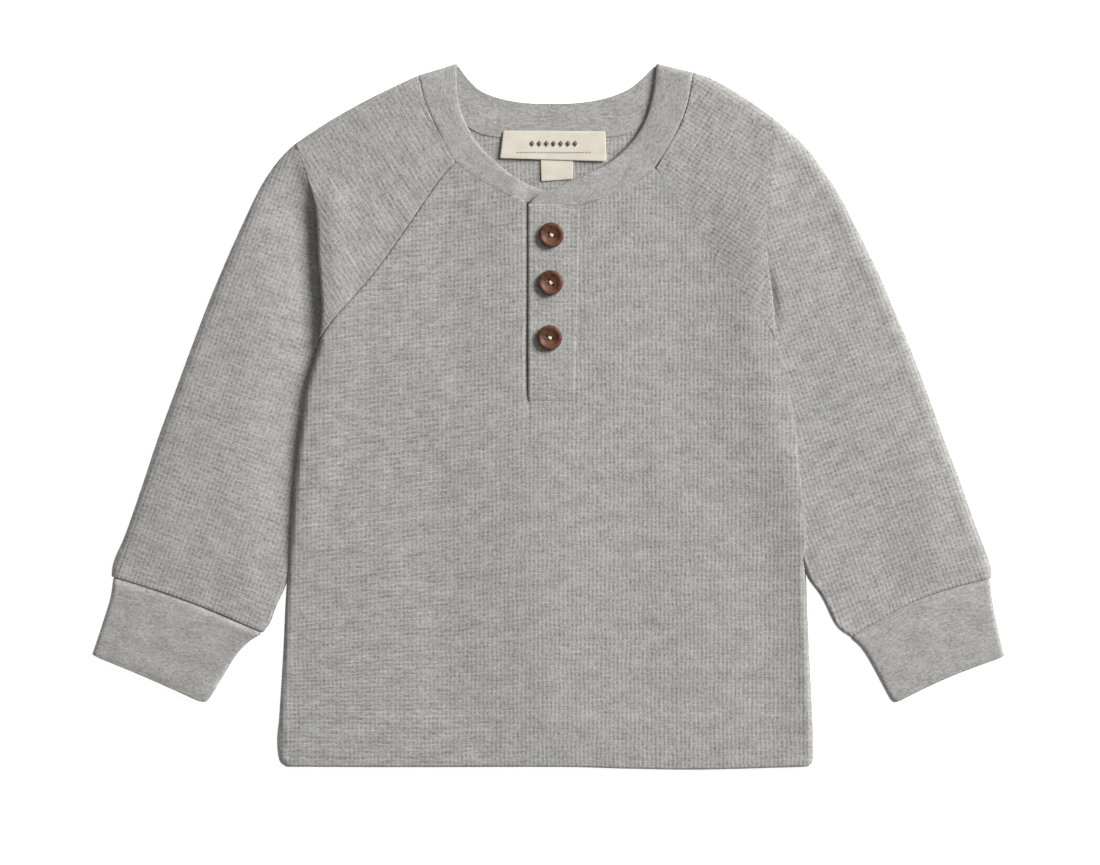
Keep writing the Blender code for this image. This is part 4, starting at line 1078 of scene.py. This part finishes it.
def sleeve_height(side, everything, below_bend):
    """Height of a sleeve's top over a plan point, for its patch above the bend or the one below it."""
    def height_at(x, y):
        crown = SLEEVE_CROWN * soft_step(everything.distance(x, y), 0, SLEEVE_CROWN_OVER)
        height = cloth_height(x, y) + crown
        bend_x, bend_depth = crest_at(BENDS[side], y)
        if side == 0:
            height = height - bend_roll(x, y, bend_x)
        if below_bend and side == 0:
            crest_x, depth = crest_at(RIGHT_CREST, y)
            height = height - depth * left_of_drop(crest_x - x, CREST_SHARPNESS) * (height - VALLEY_TOP)
        elif side == 1:
            height = height - crest_trough(LEFT_CREST, 1, x, y) * (height - LEFT_VALLEY_TOP)
        if below_bend:
            side_x = np.interp(y, *np.array(SIDES)[:, [0, 1 + side]].T)
            under = (x - np.where(y > UNDERARM_Y, bend_x, side_x)) * TOWARD_BODY[side]
            sink = BEND_SINK * soft_step(y, *TOUCHING_BETWEEN)
            sink = sink * soft_step(BENDS[side][0][0] - y, *BEND_SINKS_BELOW_TOP)
            height = height - sink * soft_step(under, 0, BEND_SINKS_OVER)
            if side == 1:
                crease_depth, crease_width = LEFT_CREASE
                away = np.clip(-under, 0, None) / crease_width
                height = height - crease_depth * bend_depth * np.exp(-(away**2)) * (y > UNDERARM_Y)
        return height
    return height_at


def sleeve_rows(grain, outline):
    polygon = grain.to_grain(outline.inner)
    level = np.sort(polygon[:, 1])
    flat = level[level < level[0] + WRIST_BAND]
    bottom = np.median(flat) if len(flat) > WRIST_POINTS else level[0]
    return [(row_levels(bottom + RIM_GAP, level[-1] - SLEEVE_TOP_GAP), whole)]


def make_sleeve(name, side, material):
    everything, upper, lower, cuff_seam = sleeve_patches(side)
    arm = sleeve_grain(SLEEVE_TURN * TOWARD_BODY[side], cuff_seam)
    cap = Grain(SLEEVE_CAP_TURN * TOWARD_BODY[side])
    inner, raglan, neck, fold, cuff_seam = sleeve_lines(side, True)
    underside = Outline([
        (inner, SLEEVE_INNER_EDGE), (raglan, SEAM_EDGE), (neck, NECK_EDGE), (fold, UNDER_FOLD_EDGE),
        (cuff_seam, CUFF_SEAM_EDGE),
    ])
    cloth = Cloth()
    for outline, grain, height, courses, below in (
        (upper, cap, sleeve_height(side, everything, False), CAP_COURSES[side], False),
        (lower, arm, sleeve_height(side, everything, True), ARM_COURSES[side], False),
        (underside, arm, 0.0, ARM_COURSES[side], True),
    ):
        cloth.add_sheet(outline, grain, sleeve_rows(grain, outline), height, RELIEF, courses, below)
    return link_mesh(name, cloth.mesh, material)


# ---------------------------------------------------------------- cuffs, neckband, placket


def make_grid(name, grid, places, thickness, material, ring=False):
    """Cloth through a grid of points, thickened on its inner side and rounded. places holds its UVs in mm."""
    mesh = bmesh.new()
    uv = mesh.loops.layers.uv.new("grain")
    rows, columns = grid.shape[:2]
    points = [[mesh.verts.new(point * MM) for point in row] for row in grid]
    for r in range(rows - 1):
        for c in range(columns if ring else columns - 1):
            corners = ((r, c), (r, c + 1), (r + 1, c + 1), (r + 1, c))
            face = mesh.faces.new([points[row][column % columns] for row, column in corners])
            for loop, corner in zip(face.loops, corners):
                loop[uv].uv = places[corner] * MM
    obj = link_mesh(name, mesh, material)
    wall = obj.modifiers.new("cloth", "SOLIDIFY")
    wall.thickness = thickness * MM
    wall.offset = -1
    rounding = obj.modifiers.new("rounding", "SUBSURF")
    rounding.levels = rounding.render_levels = 1
    return obj


def along_grid(grid, ring=False):
    """UVs of a grid in mm: the mean distance round each row, and the mean distance up the columns."""
    closed = np.concatenate([grid, grid[:, :1]], axis=1) if ring else grid
    round_steps = np.linalg.norm(np.diff(closed, axis=1), axis=2).mean(axis=0)
    up_steps = np.linalg.norm(np.diff(closed, axis=0), axis=2).mean(axis=1)
    u, v = (np.append(0, np.cumsum(steps)) for steps in (round_steps, up_steps))
    return np.stack(np.meshgrid(u, v), axis=-1)


def with_ends(start, middle, end):
    """Values round one fold, between the folds, and round the other, which are given from outside in."""
    return np.concatenate([start, middle, end[::-1]])


def cuff_section(side, inner, fold, down, groove):
    """A section of a cuff, from its inner fold over the top to its outer fold and back below."""
    width = math.dist(inner, fold)
    bow = blend(CUFF_SEAM_BOW[side], CUFF_END_BOW[side], down)
    level = np.linspace(CUFF_ROUND, width - CUFF_ROUND, CUFF_LEVEL_POINTS)[1:-1]
    over = CUFF_ROUND * (1 - np.cos(QUARTER_TURN))
    turned = np.sin(QUARTER_TURN)
    top = bowed(inner, fold, with_ends(over, level, width - over) / width, bow)
    height = CUFF_TOP + folds_at(*top.T) - groove
    height = blend(FOLD_HEIGHT, height, with_ends(turned, np.ones(len(level)), turned))
    under = UNDER_ROUND * (1 - np.cos(QUARTER_TURN[1:]))
    sunk = 1 - turned[1:]
    bottom = bowed(inner, fold, with_ends(under, level, width - under)[::-1] / width, bow)
    return [*lift(top, height), *lift(bottom, FOLD_HEIGHT * with_ends(sunk, np.zeros(len(level)), sunk))]


def make_cuff(name, side, table, material):
    """A cuff as a flattened tube, its first sections tucked up inside the sleeve."""
    rows = smooth_through(table, CUFF_STEPS)
    for index, *insets in CUFF_CORNERS:
        outward = (rows[index, 2:4] - rows[index, 0:2]) / math.dist(rows[index, 2:4], rows[index, 0:2])
        rows[index] += np.concatenate([insets[0] * outward, -insets[1] * outward])
    rows = np.vstack([CUFF_TUCKS[side], rows])
    sections = []
    for index, row in enumerate(rows):
        inner, fold = row[0:2], row[2:4]
        groove = 0.0
        for (depth, width), end in zip(CUFF_GROOVES, (table[0], table[-1])):
            groove += depth * math.exp(-((math.dist(fold, end[2:4]) / width) ** 2))
        if index < len(CUFF_TUCK_DROPS):
            groove = CUFF_TUCK_DROPS[index]
        down = soft_step((index - 2) / (len(rows) - 3), 0, 1)
        sections.append(cuff_section(side, inner, fold, down, groove))
    grid = np.array(sections)[::-1]
    if side == 0:
        grid = grid[:, ::-1]
    return make_grid(name, grid, along_grid(grid, ring=True), JERSEY_BAND_CLOTH, material, ring=True)


def band_front(table, level_steps):
    """Seam and edge of the band's front from the placket to the fold, with how far each row has turned."""
    curve = smooth_through(table)
    length = steps_along(curve).sum()
    level = np.linspace(0, 1 - BAND_FOLD_ROUND / length, level_steps + 1)
    turning = QUARTER_TURN[1:]
    turned = 1 - BAND_FOLD_ROUND * (1 - np.sin(turning)) / length
    angles = np.concatenate([np.zeros(len(level)), turning])
    return at_fractions(curve, np.concatenate([level, turned])), angles


def band_back(level_steps):
    """Seam and edge of the band's back from fold to fold, with how far each row has turned under."""
    curve = smooth_through(NECK_BACK)
    turning = QUARTER_TURN[1:]
    start = UNDER_ROUND * (1 - np.cos(turning)) / steps_along(curve).sum()
    level = np.linspace(start[-1], 1 - start[-1], level_steps + 1)[1:-1]
    angles = with_ends(turning, np.full(len(level), math.pi / 2), turning)
    return at_fractions(curve, with_ends(start, level, 1 - start)), angles


def band_rows(lines, heights, edge_drop):
    """Points across the band from seam to finished edge, for each of its rows."""
    seam_side, edge_side = np.array(BAND_SEAM_SIDE), np.array(BAND_EDGE_SIDE)
    rows = []
    for (seam_x, seam_y, edge_x, edge_y), height, drop in zip(lines, heights, edge_drop):
        width = math.hypot(edge_x - seam_x, edge_y - seam_y)
        scale = min(1.0, width / BAND_FULL_WIDTH)
        start, end = seam_side[:, 0] * scale, width - edge_side[:, 0] * scale
        middle = np.linspace(start[-1], end[0], 5)[1:-1]
        distance = np.concatenate([start, middle, end]) / width
        side = int(seam_x > 0)
        grooved = BAND_SEAM_DEPTHS[side] * seam_side[:, 1]
        seam_drops = blend(np.array(BAND_SEAM_FAINT), grooved, seam_depth(seam_x, seam_y))
        slope = BAND_SLOPES[side] * soft_step(seam_y, *BAND_SLOPES_FROM)
        drops = np.concatenate([seam_drops, 0 * middle, edge_side[:, 1]]) + slope * distance
        x, y = blend(seam_x, edge_x, distance), blend(seam_y, edge_y, distance)
        rows.append(np.stack([x, y, height - drop * drops], axis=-1))
    return rows


def make_neckband(material):
    right, right_angles = band_front(NECK_FRONT_RIGHT, BAND_STEPS[0])
    left, left_angles = band_front(NECK_FRONT_LEFT, BAND_STEPS[1])
    back, back_angles = band_back(BAND_STEPS[2])
    right_top = front_height(right[:, 0], right[:, 1]) + BAND_PROUD
    right_top = blend(right_top, BAND_UNDER_TOP, soft_step(right[:, 0], *BAND_SINKS_BETWEEN))
    left_top = front_height(np.maximum(left[:, 0], SLIT_EDGE), left[:, 1]) + BAND_PROUD
    left_top = left_top + BAND_END_RISE * (1 - soft_step(left[:, 0], *BAND_RISES_BETWEEN))
    rows = band_rows(right, blend(FOLD_HEIGHT, right_top, np.cos(right_angles)), np.cos(right_angles))
    rows += band_rows(back, FOLD_HEIGHT * (1 - np.sin(back_angles)), np.zeros(len(back)))
    rows += band_rows(left, blend(FOLD_HEIGHT, left_top, np.cos(left_angles)), np.cos(left_angles))[::-1]
    grid = np.array(rows)
    places = along_grid(grid)[..., ::-1]
    return make_grid("collar_band", grid, places, JERSEY_BAND_CLOTH, material)


def make_placket(material):
    corners = np.array([
        (PLACKET_LEFT, PLACKET_BOTTOM), (PLACKET_RIGHT, PLACKET_BOTTOM),
        (PLACKET_TOP_RIGHT, PLACKET_TOP), (PLACKET_LEFT, PLACKET_TOP),
    ])
    sides = [np.array([corners[i], corners[(i + 1) % 4]]) for i in range(4)]
    outline = Outline(list(zip(sides, (FOOT_EDGE, PLACKET_EDGE, PLACKET_EDGE, PLACKET_EDGE))))
    grain = body_grain()
    level = grain.to_grain(outline.inner)[:, 1]
    rows = row_levels(level.min() + RIM_GAP, level.max() - PLACKET_TOP_GAP)
    cloth = Cloth()
    cloth.add_sheet(outline, grain, [(rows, whole)], placket_top, PLACKET_RELIEF, PLACKET_COURSES)
    return link_mesh("placket_front", cloth.mesh, material)


def make_underlap(material):
    plan = np.stack(np.meshgrid(np.linspace(*UNDERLAP_X, 12), np.linspace(*UNDERLAP_Y, 40)), axis=-1)
    return make_grid("placket_back", lift(plan, UNDERLAP_TOP), plan, UNDERLAP_CLOTH, material)


# ---------------------------------------------------------------- buttons, label and stitching


def add_rings(mesh, rings):
    """A closed body through rings of points in mm, capped at both ends."""
    rings = [[mesh.verts.new(np.array(point) * MM) for point in ring] for ring in rings]
    for low, high in zip(rings, rings[1:]):
        for k in range(len(low)):
            after = (k + 1) % len(low)
            mesh.faces.new((low[k], high[k], high[after], low[after]))
    mesh.faces.new(rings[0])
    mesh.faces.new(rings[-1][::-1])


def add_tube(mesh, points, radius, sides=8):
    """A closed round strand along points, tapering to a dome at both ends. Sizes in mm."""
    points = np.array(points, float)
    turn = np.linspace(0, 2 * math.pi, sides, endpoint=False)
    rings = []
    for i, point in enumerate(points):
        ahead = points[min(i + 1, len(points) - 1)] - points[max(i - 1, 0)]
        ahead /= np.linalg.norm(ahead)
        side = np.cross(ahead, (0, 0, 1))
        side /= np.linalg.norm(side)
        up = np.cross(side, ahead)
        share = i / (len(points) - 1)
        size = radius * math.sqrt(max(0.05, 1 - abs(2 * share - 1) ** 6))
        rings.append(point + size * (np.outer(np.cos(turn), side) + np.outer(np.sin(turn), up)))
    add_rings(mesh, rings)


def button_profile():
    """Half a button's outline as radius and height, from its dish round to its underside."""
    points = [(radius, BUTTON_THICKNESS - depth) for radius, depth in BUTTON_DISH]
    middle = BUTTON_DIAMETER / 2 - BUTTON_EDGE_ROUND
    for angle in np.linspace(math.pi * 0.45, -math.pi / 2, 10):
        height = BUTTON_EDGE_ROUND * math.sin(angle)
        height += BUTTON_THICKNESS - BUTTON_EDGE_ROUND if angle >= 0 else BUTTON_EDGE_ROUND
        points.append((middle + BUTTON_EDGE_ROUND * math.cos(angle), height))
    return points


def bore(button, drill):
    """Cuts the drill's shape out of the button and removes the drill."""
    hole = button.modifiers.new("holes", "BOOLEAN")
    hole.object = drill
    bpy.context.view_layer.update()
    bored = bpy.data.meshes.new_from_object(button.evaluated_get(bpy.context.evaluated_depsgraph_get()))
    button.modifiers.clear()
    button.data = bored
    bpy.data.objects.remove(drill)


def make_button(number, x, y, turn, wood, thread):
    """A button with its two holes, and the threads that tie it."""
    base = float(placket_top(x, y)) + BUTTON_RISE
    disc, drills, strands = bmesh.new(), bmesh.new(), bmesh.new()
    angles = np.linspace(0, 2 * math.pi, BUTTON_SIDES, endpoint=False)
    add_rings(disc, [
        [(radius * math.cos(angle), radius * math.sin(angle), height) for angle in angles]
        for radius, height in button_profile()
    ])
    for side in (-1, 1):
        bmesh.ops.create_cone(
            drills, cap_ends=True, segments=20, radius1=BUTTON_HOLE_DIAMETER / 2 * MM,
            radius2=BUTTON_HOLE_DIAMETER / 2 * MM, depth=DRILL_LENGTH * MM,
            matrix=Matrix.Translation((side * BUTTON_HOLE_SPACING / 2 * MM, 0, 0)),
        )
    for k in (-1, 0, 1):
        line = []
        for share in np.linspace(0, 1, 9):
            sway = THREAD_SWAY * math.sin(9 * share + k)
            rise = THREAD_RISE * math.sin(math.pi * share) ** 0.5
            across = (share - 0.5) * BUTTON_HOLE_SPACING
            line.append((across, k * THREAD_SPACING + sway, THREAD_START + rise))
        add_tube(strands, line, THREAD_RADIUS)
    button = link_mesh(f"coconut_button_{number}", disc, wood)
    drill = link_mesh(f"drill_{number}", drills, wood)
    tied = link_mesh(f"button_thread_{number}", strands, thread)
    for obj in (button, drill, tied):
        obj.location = (x * MM, y * MM, base * MM)
        obj.rotation_euler = (0, 0, turn)
    bore(button, drill)
    return button, tied


def make_label(name, corners, base, material, wave):
    top_left, bottom_left, bottom_right, top_right = (np.array(corner) for corner in corners)
    s, t = np.meshgrid(np.linspace(0, 1, 40), np.linspace(0, 1, 16))
    bottom = blend(bottom_left, bottom_right, s[..., None])
    top = blend(top_left, top_right, s[..., None])
    plan = blend(bottom, top, t[..., None])
    height = base + LABEL_CLOTH + wave * (1 - t) * (0.5 + 0.5 * np.sin(7 * s + 0.8))
    return make_grid(name, lift(plan, height), plan, LABEL_CLOTH, material)


def make_motif(material):
    """A plain row of small lozenges over a dotted line, woven into the label."""
    mesh = bmesh.new()
    height = LABEL_BASE + LABEL_CLOTH + MOTIF_RISE
    for count, pitch, y, half_width, half_height in MOTIF_ROWS:
        for k in range(-count, count + 1):
            ring = []
            for turn_x, turn_y in ((1, 0), (0, 1), (-1, 0), (0, -1)):
                corner = (MOTIF_X + k * pitch + half_width * turn_x, y + half_height * turn_y, height)
                ring.append(mesh.verts.new(np.array(corner) * MM))
            raised = bmesh.ops.extrude_face_region(mesh, geom=[mesh.faces.new(ring)])
            for vert in (part for part in raised["geom"] if isinstance(part, bmesh.types.BMVert)):
                vert.co.z += MOTIF_THICKNESS * MM
    bmesh.ops.recalc_face_normals(mesh, faces=mesh.faces)
    return link_mesh("label_motif", mesh, material)


def stitch_row(mesh, line, pitch, length, radius, surface, sink):
    """A row of stitches along a line in plan, each a short strand lying on the surface."""
    line = even(np.array(line, float), STITCH_LINE_SPACING)
    total = steps_along(line).sum()
    for k in range(int(total / pitch)):
        middle = (k + 0.5) * pitch
        shares = (middle + np.linspace(-0.5, 0.5, 5) * length) / total
        plan = at_fractions(line, np.clip(shares, 0, 1))
        height = surface(*plan.T) - sink - STITCH_END_DROP * np.linspace(-1, 1, 5) ** 2
        add_tube(mesh, lift(plan, height), radius, sides=6)


def make_stitching(material):
    mesh = bmesh.new()
    hem = smooth_through(HEM)
    inside = hem[(hem[:, 0] > HEM_STITCH_BETWEEN[0]) & (hem[:, 0] < HEM_STITCH_BETWEEN[1])]
    stitch_row(mesh, inside + (0, HEM_STITCH_ABOVE), *HEM_STITCH, front_height, HEM_STITCH_SINK)
    for line, radius, sink in PLACKET_STITCHES:
        stitch_row(mesh, line, *PLACKET_STITCH, radius, placket_top, sink)
    return link_mesh("topstitching", mesh, material)


# ---------------------------------------------------------------- materials


class Look:
    """A material's node tree, with short ways to add nodes to it."""

    def __init__(self, name):
        self.material = bpy.data.materials.new(name)
        self.material.use_nodes = True
        self.nodes = self.material.node_tree.nodes
        self.links = self.material.node_tree.links
        self.shader = self.nodes["Principled BSDF"]

    def add(self, kind, inputs=(), **settings):
        node = self.nodes.new(kind)
        for name, value in settings.items():
            setattr(node, name, value)
        for key, value in dict(inputs).items():
            self.put(node.inputs[key], value)
        return node

    def put(self, socket, value):
        if isinstance(value, bpy.types.NodeSocket):
            self.links.new(value, socket)
        else:
            socket.default_value = value

    def math(self, operation, *values):
        return self.add("ShaderNodeMath", dict(enumerate(values)), operation=operation).outputs[0]

    def plus(self, a, b):
        return self.math("ADD", a, b)

    def minus(self, a, b):
        return self.math("SUBTRACT", a, b)

    def times(self, a, b):
        return self.math("MULTIPLY", a, b)

    def times_plus(self, a, b, c):
        return self.math("MULTIPLY_ADD", a, b, c)

    def noise(self, vector, scale, stretch_by=(1, 1, 1), detail=2.0, roughness=0.5):
        placed = self.add("ShaderNodeMapping", {"Vector": vector, "Scale": stretch_by}).outputs[0]
        return self.add(
            "ShaderNodeTexNoise", {"Vector": placed, "Scale": scale, "Detail": detail, "Roughness": roughness}
        ).outputs[0]

    def mix(self, share, a, b):
        return self.add("ShaderNodeMix", data_type="RGBA", inputs={0: share, 6: a, 7: b}).outputs[2]

    def ramp(self, value, *stops):
        node = self.add("ShaderNodeValToRGB", {"Fac": value})
        elements = node.color_ramp.elements
        while len(elements) < len(stops):
            elements.new(0.5)
        for element, (place, colour) in zip(elements, stops):
            element.position = place
            element.color = (*colour, 1)
        return node.outputs[0]

    def bump(self, height, strength, distance):
        inputs = {"Height": height, "Strength": strength, "Distance": distance}
        return self.add("ShaderNodeBump", inputs).outputs[0]

    def on_cloth(self):
        """The place on the cloth in metres, as a vector and as its distances across and along."""
        place = self.add("ShaderNodeUVMap", uv_map="grain").outputs[0]
        split = self.add("ShaderNodeSeparateXYZ", {0: place})
        return place, split.outputs[0], split.outputs[1]

    def wave(self, coordinate, pitch):
        """A cosine from 0 to 1 along a coordinate in metres, at its highest on whole steps of the pitch."""
        turned = self.times(coordinate, 2 * math.pi / (pitch * MM))
        return self.plus(self.times(self.math("COSINE", turned), 0.5), 0.5)

    def set(self, **values):
        for name, value in values.items():
            self.put(self.shader.inputs[name.replace("_", " ")], value)


def grey(tone):
    return (tone, tone, tone)


def heather(look, place, dark, light, streak_length, streak_share):
    """Melange yarn: fibres of a dark and a light grey, in specks and in streaks along the courses."""
    streaks = look.noise(place, 1.0, (1 / (streak_length * MM), 1 / MM, 1), 3.0, 0.65)
    specks = look.noise(place, 1.0, (620, 900, 1), 3.0, 0.75)
    clouds = look.noise(place, 1.0, (90, 150, 1), 3.0)
    share = look.plus(look.times_plus(specks, 0.5, look.times(clouds, 0.2)), 0.15)
    share = look.times_plus(look.minus(streaks, 0.5), streak_share, share)
    middle = tuple((a + b) / 2 for a, b in zip(dark, light))
    return look.ramp(share, (0.34, dark), (0.5, middle), (0.66, light))


def heather_tones(tint):
    return (tuple(tint * c for c in tone) for tone in (HEATHER_DARK, HEATHER_LIGHT))


def fibres(look, place):
    return look.noise(place, 1.0, (1500, 2600, 1), 3.0, 0.7)


def set_knit(look, colour, roughness, normal):
    look.set(
        Base_Color=colour, Roughness=roughness, Sheen_Weight=0.12, Sheen_Roughness=0.6,
        Specular_IOR_Level=0.2, Normal=normal,
    )
    return look.material


def waffle_look(name, tint, relief):
    look = Look(name)
    place, across, along = look.on_cloth()
    rib, row, loops = look.wave(across, WALE), look.wave(along, COURSE), look.wave(along, COURSE / 2)
    courses = look.add("ShaderNodeAttribute", attribute_name="courses").outputs["Fac"]
    between_ribs = look.times(look.minus(1.0, rib), look.times_plus(row, -BRIDGE, 1.0))
    between_rows = look.times(look.minus(1.0, row), look.times_plus(rib, -BRIDGE, 1.0))
    pit = look.times_plus(courses, look.minus(between_rows, between_ribs), between_ribs)
    unevenness = look.noise(place, 1.0, (260, 420, 1), 2.0)
    pit = look.times(pit, look.ramp(unevenness, (0.35, grey(0.25)), (0.65, grey(1.5))))
    dark, light = heather_tones(tint)
    colour = heather(look, place, dark, light, 6.0, look.times_plus(courses, 0.3, 0.04))
    # Painted shade: the pits' colour is mixed toward near black, on top of the pits' bump
    colour = look.mix(look.times(pit, PIT_PAINTED_SHADE), colour, (*PIT_SHADE_COLOUR, 1))
    yarn = look.times(look.times(loops, rib), 0.35)
    height = look.plus(look.minus(yarn, look.times(pit, relief)), look.times(fibres(look, place), 0.55))
    return set_knit(look, colour, 0.95, look.bump(height, 0.55, 0.00035))


def jersey_look(name, tint):
    look = Look(name)
    place, across, along = look.on_cloth()
    stitches = look.times(look.wave(across, JERSEY_WALE), look.wave(along, JERSEY_COURSE))
    dark, light = heather_tones(tint)
    colour = heather(look, place, dark, light, 3.4, 0.3)
    flecks = look.ramp(look.noise(place, 1.0, (420, 700, 1), 2.0), (0.6, grey(0)), (0.72, grey(0.4)))
    colour = look.mix(flecks, colour, (*dark, 1))
    height = look.plus(look.times(stitches, 0.5), look.times(fibres(look, place), 0.7))
    return set_knit(look, colour, 0.93, look.bump(height, 0.6, 0.0002))


def label_look():
    look = Look("label_cream_weave")
    place, across, along = look.on_cloth()
    warp, weft = look.wave(across, LABEL_WARP), look.wave(along, LABEL_WEFT)
    worn = look.noise(place, 1.0, (90, 160, 1), 3.0)
    colour = look.ramp(worn, (0.3, (0.58, 0.535, 0.44)), (0.7, (0.66, 0.615, 0.52)))
    height = look.plus(look.times(warp, 0.5), look.times(weft, 0.5))
    look.set(Base_Color=colour, Roughness=0.62, Sheen_Weight=0.15, Normal=look.bump(height, 0.5, 0.0001))
    return look.material


def plain_thread_look(name, dark, light, scale):
    look = Look(name)
    place = look.add("ShaderNodeTexCoord").outputs["Object"]
    colour = look.ramp(look.noise(place, scale, detail=3.0), (0.35, dark), (0.65, light))
    twist = look.noise(place, scale * 3)
    look.set(Base_Color=colour, Roughness=0.7, Sheen_Weight=0.2, Normal=look.bump(twist, 0.5, 0.0001))
    return look.material


def wood_look():
    look = Look("coconut_shell")
    place = look.add("ShaderNodeTexCoord").outputs["Object"]
    grain = look.noise(place, 1.0, (260, 1500, 260), 4.0, 0.65)
    blotch = look.noise(place, 180.0)
    value = look.plus(look.times(grain, 0.6), look.times(blotch, 0.4))
    colour = look.ramp(value, *zip((0.35, 0.5, 0.64), WOOD_TONES))
    look.set(
        Base_Color=colour, Roughness=look.times_plus(grain, 0.25, 0.36), Specular_IOR_Level=0.3,
        Normal=look.bump(grain, 0.35, 0.0002),
    )
    return look.material


# ---------------------------------------------------------------- stage


def make_floor():
    mesh = bmesh.new()
    bmesh.ops.create_grid(mesh, x_segments=4, y_segments=4, size=FLOOR_SIZE)
    paper = Look("white_paper")
    tone = paper.noise(paper.add("ShaderNodeTexCoord").outputs["Object"], 40.0)
    paper.set(
        Base_Color=paper.ramp(tone, (0.0, grey(0.9)), (1.0, grey(0.93))), Roughness=0.9,
        Emission_Color=(1, 1, 1, 1), Emission_Strength=FLOOR_GLOW,
    )
    floor = link_mesh("studio_floor", mesh, paper.material)
    floor.location.z = FLOOR_Z
    return floor


def make_stage():
    scene = bpy.context.scene
    scene.view_settings.view_transform = "Standard"
    world = bpy.data.worlds.new("studio")
    world.use_nodes = True
    background = world.node_tree.nodes["Background"].inputs
    background["Color"].default_value = (1.0, 1.0, 1.0, 1)
    background["Strength"].default_value = WORLD_LIGHT
    scene.world = world
    floor = make_floor()
    for name, location, size, power in LIGHTS:
        light = bpy.data.lights.new(name, "AREA")
        light.size = size
        light.energy = power
        lamp = bpy.data.objects.new(name, light)
        lamp.location = location
        lamp.rotation_euler = (-Vector(location)).to_track_quat("-Z", "Y").to_euler()
        scene.collection.objects.link(lamp)
    camera_data = bpy.data.cameras.new("camera")
    camera_data.sensor_width = 36
    camera_data.lens = CAMERA_LENS
    camera = bpy.data.objects.new("camera", camera_data)
    camera.location = CAMERA_PLACE
    scene.collection.objects.link(camera)
    scene.camera = camera


# ---------------------------------------------------------------- the shirt


def settle(piece, nodes):
    """Puts a piece on the frame, under the root, and hides the CAD parts that it stands for."""
    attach(piece, "root")
    if nodes:
        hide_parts(*nodes)


def build_shirt():
    knit = waffle_look("waffle_knit_heather", 1.0, 0.6)
    jersey = jersey_look("jersey_heather", 0.95)
    cream = label_look()
    thread = plain_thread_look("cream_thread", (0.62, 0.5, 0.38), (0.8, 0.7, 0.58), 3000.0)
    brown_thread = plain_thread_look("brown_thread", (0.13, 0.1, 0.08), (0.2, 0.16, 0.13), 2500.0)
    grey_thread = plain_thread_look("grey_thread", (0.2, 0.198, 0.188), (0.32, 0.318, 0.3), 2500.0)
    wood = wood_look()
    settle(make_back(knit), ["back_panel"])
    settle(make_front(knit), ["front_panel"])
    for name, side, node in (("sleeve_right", 0, "right_sleeve"), ("sleeve_left", 1, "left_sleeve")):
        settle(make_sleeve(name, side, knit), [node])
    for name, side, table, node in (
        ("cuff_right", 0, CUFF_RIGHT, "right_cuff"), ("cuff_left", 1, CUFF_LEFT, "left_cuff"),
    ):
        settle(make_cuff(name, side, table, jersey), [node])
    settle(make_neckband(jersey), ["neckband"])
    settle(make_placket(knit), ["placket_overlap"])
    settle(make_underlap(knit), ["placket_underlap"])
    for number, (x, y) in enumerate(BUTTON_CENTRES, start=1):
        button, tied = make_button(number, x, y, BUTTON_TURNS[number - 1], wood, thread)
        settle(button, [f"button_{number}"])
        settle(tied, [])
    motif = make_motif(brown_thread)
    settle(motif, [])
    label = make_label("collar_label", LABEL_CORNERS, LABEL_BASE, cream, LABEL_WAVE)
    settle(label, ["neck_label"])
    tab = make_label("small_tab", TAB_CORNERS, TAB_BASE, cream, TAB_WAVE)
    settle(tab, ["size_tab"])
    settle(make_stitching(grey_thread), [])


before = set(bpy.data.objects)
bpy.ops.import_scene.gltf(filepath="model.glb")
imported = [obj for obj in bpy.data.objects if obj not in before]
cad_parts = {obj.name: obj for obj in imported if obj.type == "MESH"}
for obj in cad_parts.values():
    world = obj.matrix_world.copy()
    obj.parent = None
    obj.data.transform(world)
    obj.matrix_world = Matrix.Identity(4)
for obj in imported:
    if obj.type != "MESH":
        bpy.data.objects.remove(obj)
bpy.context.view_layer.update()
build_shirt()
make_stage()
